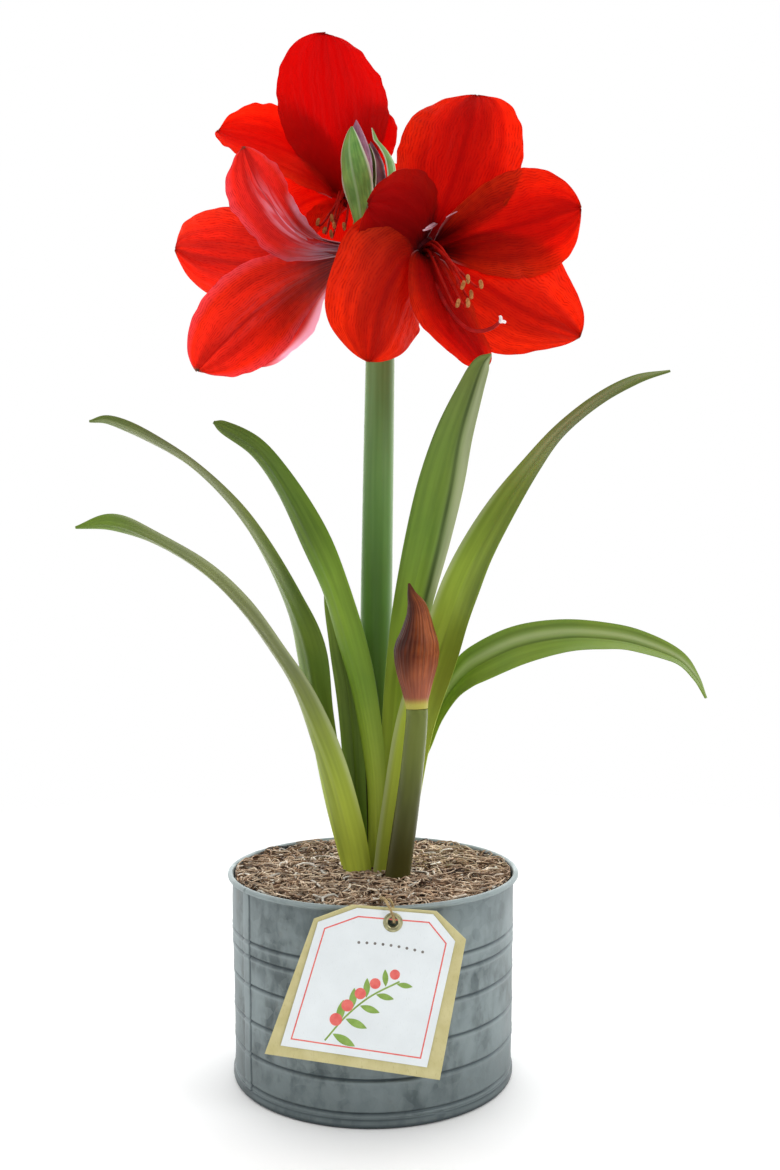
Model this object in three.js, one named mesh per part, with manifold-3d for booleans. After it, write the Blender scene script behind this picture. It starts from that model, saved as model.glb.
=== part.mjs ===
// Potted amaryllis: a bulb in a galvanised tin pot, with strap leaves, a scape in full flower,
// a young scape in bud and a hang tag tied over the rim with jute twine.
// Millimetres, +Z up. The origin is on the pot's axis at the surface that the pot stands on,
// and the plant's front faces -Y.
import * as THREE from "three";
import { mergeVertices } from "three/addons/utils/BufferGeometryUtils.js";
import Module from "manifold-3d";

const wasm = await Module();
wasm.setup();

// ---- driving dimensions -------------------------------------------------------------------
const CLEARANCE = 0.3; // gap between neighbouring pieces that touch
const pot = {
  height: 118.5,
  bodyRadiusTop: 83.7,
  bodyRadiusFoot: 81.8,
  wall: 1.0,
  rimBead: 1.6,
  rimBeadRadius: 84.9,
  footRadius: 82.8,
  footHeight: 5,
  grooveHeights: [25.5, 44, 64, 80, 88],
  footGroove: 7.5,
  grooveDepth: 0.8,
  grooveHalfWidth: 1.2,
  seamAngle: 214.6,
  seamOffset: 0.2,
  sides: 32,
};
const fill = {
  baseThickness: 1.0,
  soilTop: 102,
  mossEdge: 111.5,
  mossCentre: 114.6,
  mossRelief: 1.1,
  mossRings: 7,
};
const bulb = {
  centre: [3, -6],
  bottom: 22,
  radius: 42,
  belly: 55,
  neckRadius: 29,
  neckTop: 108,
  sides: 20,
};
const tepalThickness = 0.9;
const sepalThickness = 0.9;

// ---- general helpers ----------------------------------------------------------------------
const v3 = (x, y, z) => new THREE.Vector3(x, y, z);
const radians = THREE.MathUtils.degToRad;
const smooth = (x) => THREE.MathUtils.smoothstep(x, 0, 1);
const ramp = (x, from, to) => THREE.MathUtils.clamp((x - from) / (to - from), 0, 1);

function closedGeometry(vertices, triangles) {
  const geometry = new THREE.BufferGeometry();
  geometry.setAttribute("position", new THREE.Float32BufferAttribute(vertices, 3));
  geometry.setIndex(triangles);
  return geometry;
}

function toSolid(geometry) {
  const bare = geometry.clone();
  bare.deleteAttribute("normal");
  bare.deleteAttribute("uv");
  const merged = mergeVertices(bare, 1e-4);
  return new wasm.Manifold(new wasm.Mesh({
    numProp: 3,
    vertProperties: new Float32Array(merged.attributes.position.array),
    triVerts: new Uint32Array(merged.index.array),
  }));
}

function toGeometry(solid) {
  const mesh = solid.getMesh();
  return closedGeometry(Array.from(mesh.vertProperties), Array.from(mesh.triVerts));
}

// Joins closed meshes and keeps the one main body, with any pocket sealed by the join filled.
function fuse(geometries) {
  let joined = toSolid(geometries[0]);
  for (const geometry of geometries.slice(1)) joined = joined.add(toSolid(geometry));
  const bodies = joined.decompose();
  bodies.sort((a, b) => b.volume() - a.volume());
  return toGeometry(bodies[0]);
}

function cut(geometry, cutters) {
  let solid = toSolid(geometry);
  for (const cutter of cutters) solid = solid.subtract(toSolid(cutter));
  return toGeometry(solid);
}

// A closed blade: a grid of mid-surface points with the same triangles on both faces.
function blade(pointAt, thicknessAt, steps, strips) {
  const top = [];
  const bottom = [];
  const h = 0.004;
  for (let i = 0; i <= steps; i += 1) {
    for (let j = 0; j <= strips; j += 1) {
      const u = i / steps;
      const v = (2 * j) / strips - 1;
      const along = pointAt(Math.min(1, u + h), v).sub(pointAt(Math.max(0, u - h), v));
      const across = pointAt(u, Math.min(1, v + h)).sub(pointAt(u, Math.max(-1, v - h)));
      const normal = along.cross(across).normalize();
      const middle = pointAt(u, v);
      const half = thicknessAt(u, v) / 2;
      top.push(middle.clone().addScaledVector(normal, half));
      bottom.push(middle.clone().addScaledVector(normal, -half));
    }
  }
  const count = top.length;
  const vertices = [...top, ...bottom].flatMap((p) => [p.x, p.y, p.z]);
  const at = (i, j) => i * (strips + 1) + j;
  const triangles = [];
  const quad = (a, b, c, d) => triangles.push(a, b, c, a, c, d);
  for (let i = 0; i < steps; i += 1) {
    for (let j = 0; j < strips; j += 1) {
      quad(at(i, j), at(i + 1, j), at(i + 1, j + 1), at(i, j + 1));
      const under = [at(i, j), at(i + 1, j), at(i + 1, j + 1), at(i, j + 1)].map((k) => k + count);
      triangles.push(under[0], under[2], under[1], under[0], under[3], under[2]);
    }
    quad(at(i, 0), at(i, 0) + count, at(i + 1, 0) + count, at(i + 1, 0));
    quad(at(i, strips), at(i + 1, strips), at(i + 1, strips) + count, at(i, strips) + count);
  }
  for (let j = 0; j < strips; j += 1) {
    quad(at(0, j), at(0, j + 1), at(0, j + 1) + count, at(0, j) + count);
    quad(at(steps, j), at(steps, j) + count, at(steps, j + 1) + count, at(steps, j + 1));
  }
  return closedGeometry(vertices, triangles);
}

// A closed round stalk along a smooth curve through the points, with a radius for each point and
// the same number of rings in every span between two points.
function stalk(points, radii, sides, ringsPerSpan) {
  const curve = new THREE.CatmullRomCurve3(points.map((p) => v3(...p)), false, "centripetal");
  const spans = points.length - 1;
  const steps = spans * ringsPerSpan;
  const vertices = [];
  const triangles = [];
  let tangent = curve.getTangent(0);
  const normal = v3(1, 0, 0).addScaledVector(tangent, -tangent.x).normalize();
  for (let i = 0; i <= steps; i += 1) {
    const next = curve.getTangent(i / steps);
    normal.applyQuaternion(new THREE.Quaternion().setFromUnitVectors(tangent, next));
    tangent = next;
    const binormal = tangent.clone().cross(normal);
    const span = Math.min(spans - 1, Math.floor(i / ringsPerSpan));
    const radius = THREE.MathUtils.lerp(radii[span], radii[span + 1], i / ringsPerSpan - span);
    const centre = curve.getPoint(i / steps);
    for (let j = 0; j < sides; j += 1) {
      const angle = (2 * Math.PI * j) / sides;
      const p = centre.clone()
        .addScaledVector(normal, radius * Math.cos(angle))
        .addScaledVector(binormal, radius * Math.sin(angle));
      vertices.push(p.x, p.y, p.z);
    }
  }
  const at = (i, j) => i * sides + (j % sides);
  for (let i = 0; i < steps; i += 1) {
    for (let j = 0; j < sides; j += 1) {
      triangles.push(at(i, j), at(i, j + 1), at(i + 1, j + 1));
      triangles.push(at(i, j), at(i + 1, j + 1), at(i + 1, j));
    }
  }
  for (let j = 1; j < sides - 1; j += 1) {
    triangles.push(at(0, 0), at(0, j + 1), at(0, j));
    triangles.push(at(steps, 0), at(steps, j), at(steps, j + 1));
  }
  return closedGeometry(vertices, triangles);
}

// A lathe about +Z: the profile holds [radius, height] from the axis or closed on itself.
function turned(profile, sides) {
  const points = profile.map(([r, z]) => new THREE.Vector2(r, z));
  return new THREE.LatheGeometry(points, sides).rotateX(Math.PI / 2);
}

// ---- pot ----------------------------------------------------------------------------------
const bodyRadiusAt = (z) => {
  const share = (z - pot.footHeight) / (pot.height - pot.footHeight);
  return THREE.MathUtils.lerp(pot.bodyRadiusFoot, pot.bodyRadiusTop, share);
};
const innerRadiusAt = (z) => bodyRadiusAt(z) - pot.wall;

function potWall() {
  const outside = [
    [pot.footRadius - 2.4, 0],
    [pot.footRadius - 0.8, 0],
    [pot.footRadius, 1.2],
    [pot.footRadius, pot.footHeight - 1],
    [bodyRadiusAt(pot.footHeight), pot.footHeight],
    [bodyRadiusAt(pot.footGroove) - pot.grooveDepth, pot.footGroove],
    [bodyRadiusAt(pot.footGroove), pot.footGroove + pot.grooveHalfWidth],
  ];
  for (const z of pot.grooveHeights) {
    outside.push([bodyRadiusAt(z), z - pot.grooveHalfWidth]);
    outside.push([bodyRadiusAt(z) - pot.grooveDepth, z]);
    outside.push([bodyRadiusAt(z), z + pot.grooveHalfWidth]);
  }
  const rimCentre = pot.height - pot.rimBead;
  const rim = [];
  for (const angle of [-150, -80, -20, 40, 100, 170]) {
    rim.push([
      pot.rimBeadRadius + pot.rimBead * Math.cos(radians(angle)),
      rimCentre + pot.rimBead * Math.sin(radians(angle)),
    ]);
  }
  const inside = [
    [innerRadiusAt(pot.height), rimCentre - 1.5],
    [innerRadiusAt(pot.footHeight), pot.footHeight + 1.2],
    [pot.footRadius - 2.4, pot.footHeight],
  ];
  const profile = [...outside, ...rim, ...inside];
  profile.push(profile[0]);
  const wall = turned(profile, pot.sides);
  const angle = radians(pot.seamAngle);
  const seamPoint = (z) => {
    const radius = bodyRadiusAt(z) + pot.seamOffset;
    return [Math.cos(angle) * radius, Math.sin(angle) * radius, z];
  };
  const seam = stalk([seamPoint(10), seamPoint(pot.height - 4)], [1.1, 1.1], 6, 1);
  return fuse([wall, seam]);
}

function potBase() {
  const z = pot.footHeight + 1.2 + CLEARANCE;
  const radius = innerRadiusAt(z) - CLEARANCE;
  const top = z + fill.baseThickness;
  return turned([[0, z], [radius, z], [radius, top], [0, top]], pot.sides);
}

// ---- bulb, soil and moss ------------------------------------------------------------------
function bulbProfile(grow) {
  const r = bulb.radius + grow;
  const neck = bulb.neckRadius + grow;
  return [
    [0, bulb.bottom - grow],
    [r * 0.45, bulb.bottom - grow],
    [r * 0.82, bulb.bottom + 12],
    [r, bulb.belly - 6],
    [r * 0.97, bulb.belly + 12],
    [r * 0.82, bulb.belly + 27],
    [neck, bulb.neckTop - 14],
  ];
}

function bulbSolid() {
  const profile = [
    ...bulbProfile(0),
    [bulb.neckRadius, bulb.neckTop - 2],
    [bulb.neckRadius - 2, bulb.neckTop],
    [0, bulb.neckTop],
  ];
  return turned(profile, bulb.sides).translate(...bulb.centre, 0);
}

function bulbCavity(top) {
  const neck = bulb.neckRadius + CLEARANCE;
  const profile = [...bulbProfile(CLEARANCE), [neck, top], [0, top]];
  return turned(profile, bulb.sides).translate(...bulb.centre, 0);
}

function pottingMix() {
  const bottom = pot.footHeight + 1.2 + 2 * CLEARANCE + fill.baseThickness;
  const profile = [
    [0, bottom],
    [innerRadiusAt(bottom) - CLEARANCE, bottom],
    [innerRadiusAt(fill.soilTop) - CLEARANCE, fill.soilTop],
    [0, fill.soilTop],
  ];
  return cut(turned(profile, pot.sides), [bulbCavity(fill.soilTop + 10)]);
}

// Rolling relief of the moss surface: a sum of waves, flat near the pot wall.
function mossHeight(x, y) {
  const radius = Math.hypot(x, y) / innerRadiusAt(fill.mossEdge);
  const mound = THREE.MathUtils.lerp(fill.mossCentre, fill.mossEdge, smooth(radius));
  const waves = Math.sin(x * 0.31 + 1.3) * Math.cos(y * 0.27 - 0.4) + 0.6 * Math.sin(x * 0.17 - y * 0.41);
  return mound + fill.mossRelief * waves;
}

function mossTopping() {
  const outer = innerRadiusAt(fill.mossEdge) - CLEARANCE;
  const inner = bulb.neckRadius + CLEARANCE;
  const bottom = fill.soilTop + CLEARANCE;
  const vertices = [];
  const triangles = [];
  const rings = fill.mossRings;
  const sectors = pot.sides;
  const ringPoint = (ring, sector) => {
    const angle = (2 * Math.PI * sector) / sectors;
    const t = ring / rings;
    const near = [bulb.centre[0] + inner * Math.cos(angle), bulb.centre[1] + inner * Math.sin(angle)];
    const far = [outer * Math.cos(angle), outer * Math.sin(angle)];
    return [THREE.MathUtils.lerp(near[0], far[0], t), THREE.MathUtils.lerp(near[1], far[1], t)];
  };
  for (let ring = 0; ring <= rings; ring += 1) {
    for (let sector = 0; sector < sectors; sector += 1) {
      const [x, y] = ringPoint(ring, sector);
      vertices.push(x, y, mossHeight(x, y));
    }
  }
  const under = (rings + 1) * sectors;
  for (const ring of [0, rings]) {
    for (let sector = 0; sector < sectors; sector += 1) {
      vertices.push(...ringPoint(ring, sector), bottom);
    }
  }
  const top = (ring, sector) => ring * sectors + (sector % sectors);
  const low = (side, sector) => under + side * sectors + (sector % sectors);
  const quad = (a, b, c, d) => triangles.push(a, b, c, a, c, d);
  for (let sector = 0; sector < sectors; sector += 1) {
    for (let ring = 0; ring < rings; ring += 1) {
      quad(top(ring, sector), top(ring + 1, sector), top(ring + 1, sector + 1), top(ring, sector + 1));
    }
    quad(low(0, sector), top(0, sector), top(0, sector + 1), low(0, sector + 1));
    quad(low(1, sector), low(1, sector + 1), top(rings, sector + 1), top(rings, sector));
    quad(low(0, sector), low(0, sector + 1), low(1, sector + 1), low(1, sector));
  }
  return closedGeometry(vertices, triangles);
}

// ---- leaves -------------------------------------------------------------------------------
// Stations from the base to the tip: [x, y, z, width, roll in degrees]. Roll 0 shows the blade's
// full width to the front and 90 shows its edge. The channel opens to the back (+1) or front (-1).
const leafBottom = bulb.neckTop + CLEARANCE; // leaves and scapes stand on the bulb's neck
const leafShape = { thickness: 2.0, edge: 0.9, channel: 0.24, wave: 0.7, waves: 3.5, strips: 3, steps: 14 };
const leaves = {
  leaf_1: {
    channelSide: 1,
    stations: [
      [-9, -13, leafBottom, 15, 0], [-9, -13, 118, 16, 0], [-14, -13, 142, 18, -10],
      [-25.2, -13, 182.1, 19, -29],
      [-42.5, -12, 223.4, 21.2, -52], [-59, -10, 249.8, 22, -63], [-79.3, -7, 275.6, 22, -66],
      [-103, -4, 297.6, 21.2, -65], [-132.8, -2, 315.6, 15.3, -60], [-157.1, 0, 324.2, 12.4, -40],
      [-178.7, 0, 322, 1.6, -30],
    ],
  },
  leaf_2: {
    channelSide: 1,
    stations: [
      [-12.5, -4.5, leafBottom, 12.5, -10], [-12.5, -4.5, 118, 13, -14], [-23.8, -2, 160.6, 16.6, -32],
      [-33.3, 2, 208.8, 21, -39], [-39.6, 6, 247, 24.3, -38], [-50.7, 11, 277.2, 23.2, -53],
      [-66.7, 16, 307.1, 22.2, -67], [-87.5, 24, 336.5, 19.1, -74], [-113.5, 30, 362, 16.1, -73],
      [-141.9, 34, 379.7, 13.2, -66], [-166.5, 36, 390.7, 8, -49], [-180, 37, 391, 1.6, -45],
    ],
  },
  leaf_3: {
    channelSide: 1,
    stations: [
      [1.8, -6.5, leafBottom, 8.5, -5], [1.8, -6.5, 118, 10, -10], [1.7, -7, 168.7, 13.1, -25],
      [-6, -8, 222.1, 17.6, -33], [-15.2, -9, 257.6, 21.1, -33], [-24, -10, 286.9, 21.1, -38],
      [-36.9, -12, 316.4, 21.5, -36], [-53.3, -14, 347.2, 17.5, -36], [-68.4, -17, 367.5, 13, -33],
      [-86.7, -20, 379, 8, -23], [-92.7, -21, 382.3, 1.6, -20],
    ],
  },
  leaf_4: {
    channelSide: -1,
    stations: [
      [-8.8, 0.8, leafBottom, 10, 0], [-8.8, 0.8, 118, 10.5, 0], [-11.1, 0.8, 170.8, 12.8, 0],
      [-14.7, 1.5, 219.4, 14.2, -4], [-20.5, 3, 249.8, 11.8, -8], [-26, 5, 274.5, 7, -12],
      [-29.3, 5, 287.8, 1.6, -12],
    ],
  },
  leaf_5: {
    channelSide: -1,
    stations: [
      [10, -2, leafBottom, 11, 6], [10, -2, 118, 11.5, 8], [11.2, -1.5, 167.8, 15.1, 18],
      [15.4, -2, 215.1, 21, 14], [19.5, -4, 254.1, 21.8, 10], [23.9, -8, 280.4, 23.4, 8],
      [31.8, -20, 315.2, 26.5, 6], [38.8, -35, 345.6, 26.2, 6], [45.1, -50, 371.3, 21.3, 10],
      [53.4, -65, 394.2, 14.9, 12], [58.2, -79, 404.4, 9.9, 12], [62.8, -86, 408.6, 1.6, 12],
    ],
  },
  leaf_6: {
    channelSide: -1,
    stations: [
      [11, -12.5, leafBottom, 21.5, 0], [11, -12.5, 118, 21.6, -2], [16.5, -12, 158.1, 21.6, -10],
      [25, -13, 204.5, 23, -14], [37.6, -14, 244.3, 25, -17], [45.2, -15, 267.8, 24, -19],
      [52, -15, 286.8, 23.2, -14], [62.2, -15, 308.6, 21, -22], [77.3, -14, 334.1, 19, -33],
      [93.7, -12, 357.1, 16.1, -43], [111.3, -10, 378, 12.5, -50], [134.5, -8, 397.2, 10, -48],
      [156.3, -6, 409.4, 7, -32], [176.8, -5, 415, 1.6, -30],
    ],
  },
  leaf_7: {
    channelSide: -1,
    stations: [
      [16, -8, leafBottom, 9.5, 0], [16, -8, 118, 10, -2], [18.3, -8, 147.5, 10.5, -6],
      [25.6, -8, 182, 11, -18], [31, -7.5, 195.5, 10.8, -24], [37.2, -7, 209.5, 10.8, -30],
      [45.4, -7, 223.5, 14.5, -34], [54, -8.5, 233.5, 20, -32], [64, -11, 241, 23.4, -28],
      [86, -18, 251.6, 24.5, -28], [111.6, -30, 257.1, 23, -37], [135.2, -43, 256.6, 21.1, -45],
      [150.8, -55, 253.3, 17.9, -50], [166, -66, 246.8, 13.1, -55], [173.4, -74, 237.7, 7.1, -50],
      [177.6, -80, 227.6, 1.6, -45],
    ],
  },
};

function leafBlade({ channelSide, stations }) {
  const spline = (points) => new THREE.CatmullRomCurve3(points, false, "catmullrom", 0.5);
  const path = spline(stations.map((s) => v3(s[0], s[1], s[2])));
  const sizes = spline(stations.map((s) => v3(s[3], s[4], 0)));
  const pointAt = (u, v) => {
    const centre = path.getPoint(u);
    const tangent = path.getTangent(u);
    const size = sizes.getPoint(u);
    const half = Math.max(size.x, 1.2) / 2;
    const roll = radians(size.y);
    const flat = v3(0, 1, 0).cross(tangent).normalize();
    const back = tangent.clone().cross(flat);
    const width = flat.clone().multiplyScalar(Math.cos(roll)).addScaledVector(back, Math.sin(roll));
    const face = back.clone().multiplyScalar(Math.cos(roll)).addScaledVector(flat, -Math.sin(roll));
    const swell = leafShape.wave * ramp(u, 0.25, 0.45) * v * v;
    const wave = swell * Math.sin(2 * Math.PI * leafShape.waves * u + v);
    const rise = channelSide * leafShape.channel * half * v * v + wave * Math.min(1, half / 8);
    return centre.addScaledVector(width, half * v).addScaledVector(face, rise);
  };
  const thicknessAt = (u, v) => {
    return THREE.MathUtils.lerp(leafShape.thickness, leafShape.edge, v * v) * (1 - 0.35 * u);
  };
  return blade(pointAt, thicknessAt, leafShape.steps, leafShape.strips);
}

// ---- scapes and the closed spathe -----------------------------------------------------------
const scapes = {
  main: {
    path: [
      [-0.5, 11.5, leafBottom], [-0.5, 11.5, 118], [0.8, 12, 200], [1.8, 11.5, 290], [3, 10.8, 370],
      [4, 10, 434],
      [4, 10, 440],
    ],
    radii: [9.9, 9.9, 9.8, 9.6, 9.2, 8.7, 8.7],
  },
  young: {
    path: [
      [14.2, -22, leafBottom], [14.2, -22, 116], [18.8, -25, 151], [22, -28, 176], [25.4, -31, 212],
      [25.4, -31, 216.5],
    ],
    radii: [7.3, 7.3, 7, 6.6, 6.2, 6.2],
  },
};
const spathe = {
  path: [
    [25.4, -31, 216.8], [25.2, -31, 222.2], [25, -31.2, 229], [24.8, -31.4, 236], [24.9, -31.5, 243],
    [25.1, -31.5, 249.7],
    [25.7, -31.5, 255.5], [26, -31.5, 261.5], [26, -31.5, 270.9], [25, -31.5, 276], [22.6, -31.5, 282],
    [20.8, -31.5, 288.5],
  ],
  radii: [6.3, 7, 8.7, 10.7, 12.3, 12.95, 11.9, 9.6, 6.6, 5.4, 2.8, 0.6],
};

// ---- flowers ------------------------------------------------------------------------------
// A tepal leaves the throat at its clock angle round the flower's axis, seen from the front,
// and bends away from the axis by its flare and then by its curl.
const tepalDefaults = {
  start: 8, sway: 0, twist: 0, cup: 25, throatCup: 45, claw: 0.08, peak: 0.6, root: 3.6,
  ripple: 1.6, waves: 2.5, phase: 0, curl: 20,
};
const tepalSteps = 8;
const tepalStrips = 3;
const flowers = {
  right: {
    base: [29.6, -12, 484.9],
    axis: [0.179, -0.975, -0.132],
    stamens: { droop: 29, styleDroop: 49, spread: 9.5, styleSpread: 23.5, long: 62 },
    tepals: [
      {
        clock: 17, length: 100.4, width: 71, flare: 68, curl: 36, sway: -5.7, twist: 20, cup: 22,
        root: 6.2,
      },
      { clock: 84, length: 114, width: 57.5, flare: 98, curl: 23, sway: -21.5, cup: 13 },
      { clock: 133, length: 122, width: 68, flare: 64, curl: 4, sway: -8.6, twist: 9.5, cup: 4, root: 6.2 },
      { clock: 200, length: 110, width: 38.4, flare: 51, curl: 8, sway: -51, cup: -20 },
      {
        clock: 250, length: 109, width: 76.6, flare: 56, curl: 33, sway: -60.5, twist: 13, cup: -28,
        root: 6.2,
      },
      { clock: 298, length: 77.4, width: 62, flare: 43, curl: 2, sway: -14.4, twist: 12, cup: -19 },
    ],
  },
  left: {
    base: [-6.9, -2, 488.1],
    axis: [-0.911, 0.374, -0.174],
    stamens: { droop: 22, styleDroop: 30, spread: 4, styleSpread: 8, long: 56 },
    tepals: [
      { clock: 36.5, length: 98.5, width: 58.6, flare: 68, curl: 32, sway: -2, twist: 19, cup: 12 },
      { clock: 129, length: 128, width: 54.5, flare: 56, curl: 8, sway: 9, twist: -35, cup: 5 },
      { clock: 177, length: 95.3, width: 62.4, flare: 40, curl: 4, cup: 12, root: 6.2 },
      { clock: 238, length: 92, width: 44, flare: 34, curl: 8, cup: 20 },
      { clock: 298, length: 145.7, width: 73.6, flare: 17, curl: 2, sway: 25, twist: 7, cup: 2, root: 6.2 },
      { clock: 352, length: 74, width: 34, flare: 50, curl: 10, cup: 35 },
    ],
  },
  back: {
    base: [-18.3, 62, 536.6],
    axis: [-0.031, -0.981, 0.191],
    stamens: { droop: 38, styleDroop: 42, spread: -7, styleSpread: -10, long: 48 },
    tepals: [
      { clock: -8.2, length: 111, width: 70.5, flare: 70.6, curl: 13, sway: 2, twist: -18, cup: -5.5 },
      { clock: 30, length: 63, width: 36, flare: 76, curl: 10, cup: 25, root: 6.2 },
      { clock: 105, length: 66, width: 44, flare: 100, curl: 30 },
      { clock: 172, length: 62, width: 46, flare: 106, curl: 40, root: 6.2 },
      { clock: 258, length: 66, width: 46, flare: 110, curl: 36 },
      {
        clock: 295.6, length: 100.3, width: 51.5, flare: 77.4, curl: 23, sway: -9, twist: -15, cup: 41,
        root: 6.2,
      },
    ],
  },
};

function flowerFrame(axis) {
  const forward = v3(...axis).normalize();
  const up = v3(0, 0, 1);
  up.addScaledVector(forward, -up.dot(forward)).normalize();
  const right = forward.clone().negate().cross(up);
  return { forward, up, right };
}

// Width along a tepal: a claw at the throat, its widest place at the peak and a blunt point.
function tepalWidth(u, claw, peak) {
  if (u < peak) return claw + (1 - claw) * Math.sin((Math.PI / 2) * (u / peak)) ** 1.3;
  return Math.max(0.03, Math.max(0, 1 - ((u - peak) / (1 - peak)) ** 2.2) ** 0.62);
}

function tepalSurface(flower, given) {
  const tepal = { ...tepalDefaults, ...given };
  const { forward, up, right } = flowerFrame(flower.axis);
  const clock = radians(tepal.clock);
  const out = up.clone().multiplyScalar(Math.cos(clock)).addScaledVector(right, Math.sin(clock));
  const side = up.clone().multiplyScalar(-Math.sin(clock)).addScaledVector(right, Math.cos(clock));
  const samples = 40;
  const rib = [];
  const place = v3(...flower.base).addScaledVector(out, tepal.root);
  for (let i = 0; i <= samples; i += 1) {
    const s = i / samples;
    const lean = radians(tepal.start + (tepal.flare - tepal.start) * smooth(s / 0.6)
      + tepal.curl * ramp(s, 0.4, 1) ** 1.5);
    const sway = radians(tepal.sway) * smooth(s);
    const twist = radians(tepal.twist) * smooth(s);
    const plain = forward.clone().multiplyScalar(Math.cos(lean)).addScaledVector(out, Math.sin(lean));
    const tangent = plain.clone().multiplyScalar(Math.cos(sway)).addScaledVector(side, Math.sin(sway));
    const across = side.clone().multiplyScalar(Math.cos(sway)).addScaledVector(plain, -Math.sin(sway));
    const inner = out.clone().multiplyScalar(-Math.cos(lean)).addScaledVector(forward, Math.sin(lean));
    if (i > 0) {
      const step = tepal.length / samples / 2;
      place.addScaledVector(rib[i - 1].tangent, step).addScaledVector(tangent, step);
    }
    rib.push({
      place: place.clone(),
      tangent,
      across: across.clone().multiplyScalar(Math.cos(twist)).addScaledVector(inner, Math.sin(twist)),
      inner: inner.clone().multiplyScalar(Math.cos(twist)).addScaledVector(across, -Math.sin(twist)),
    });
  }
  return (u, v) => {
    const k = Math.min(samples - 1, Math.floor(u * samples));
    const blend = u * samples - k;
    const mix = (key) => rib[k][key].clone().lerp(rib[k + 1][key], blend);
    const half = (tepal.width / 2) * tepalWidth(u, tepal.claw, tepal.peak);
    const opening = smooth(u / 0.55);
    const bend = radians(THREE.MathUtils.lerp(tepal.throatCup, tepal.cup, opening)) || 1e-3;
    const wave = tepal.ripple * v * v * smooth(u / 0.4)
      * Math.sin(2 * Math.PI * tepal.waves * u + radians(tepal.phase) + 1.2 * v);
    return mix("place")
      .addScaledVector(mix("across"), (half * Math.sin(bend * v)) / bend)
      .addScaledVector(mix("inner"), (half * (1 - Math.cos(bend * v))) / bend + wave);
  };
}

function alongAxis(geometry, origin, axis) {
  const turn = new THREE.Quaternion().setFromUnitVectors(v3(0, 0, 1), v3(...axis).normalize());
  return geometry.applyQuaternion(turn).translate(...origin);
}

const throat = { front: 7, radius: 6.8, seat: 5.4 };

function bloom(flower) {
  const tube = alongAxis(
    turned([[0, 0], [throat.seat, 0], [throat.radius, throat.front], [0, throat.front]], 9),
    flower.base,
    flower.axis,
  );
  const tepals = flower.tepals.map((tepal) => (
    blade(tepalSurface(flower, tepal), () => tepalThickness, tepalSteps, tepalStrips)
  ));
  return fuse([tube, ...tepals]);
}

const stamenShape = { count: 6, filament: 0.8, anther: [1.5, 6], hub: 3.4, style: 0.9, stigma: 1.7 };

// Filaments and style rise from one hub in the throat, droop along the lower tepals and turn up.
function stamens(flower) {
  const { forward, up, right } = flowerFrame(flower.axis);
  const reach = (along, rise, side) => {
    const p = v3(...flower.base)
      .addScaledVector(forward, throat.front + CLEARANCE + along)
      .addScaledVector(up, rise)
      .addScaledVector(right, side);
    return [p.x, p.y, p.z];
  };
  const pieces = [];
  const { droop, styleDroop, spread, styleSpread, long } = flower.stamens;
  pieces.push(stalk([reach(0, 0, 0), reach(3, 0, 0)], [stamenShape.hub, stamenShape.hub], 6, 1));
  for (let i = 0; i < stamenShape.count; i += 1) {
    const angle = radians(60 * i + 30);
    const fan = Math.cos(angle);
    const level = Math.sin(angle);
    const length = long * (1 - 0.06 * (i % 3));
    const tip = reach(length, -droop + 5 * level, spread + 9 * fan);
    pieces.push(stalk(
      [
        reach(1.5, 1.5 * level, 1.5 * fan),
        reach(length * 0.32, -droop * 0.08 + 3 * level, spread * 0.08 + 3 * fan),
        reach(length * 0.72, -droop * 0.6 + 4 * level, spread * 0.55 + 6 * fan),
        tip,
      ],
      [stamenShape.filament, stamenShape.filament, stamenShape.filament * 0.9, stamenShape.filament * 0.8],
      3,
      1,
    ));
    const [radius, span] = stamenShape.anther;
    pieces.push(stalk(
      [
        [tip[0], tip[1], tip[2] - span / 2], [tip[0], tip[1], tip[2]], [tip[0], tip[1], tip[2] + span / 2],
      ],
      [0.6, radius, 0.6],
      4,
      1,
    ));
  }
  const styleTip = reach(long * 1.16, -styleDroop, styleSpread);
  pieces.push(stalk(
    [
      reach(1.5, 0, 0), reach(long * 0.34, -styleDroop * 0.06, styleSpread * 0.04),
      reach(long * 0.85, -styleDroop * 0.85, styleSpread * 0.5), styleTip,
    ],
    [stamenShape.style, stamenShape.style, stamenShape.style, stamenShape.style],
    4,
    2,
  ));
  pieces.push(new THREE.IcosahedronGeometry(stamenShape.stigma, 0).translate(...styleTip));
  return fuse(pieces);
}

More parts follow.
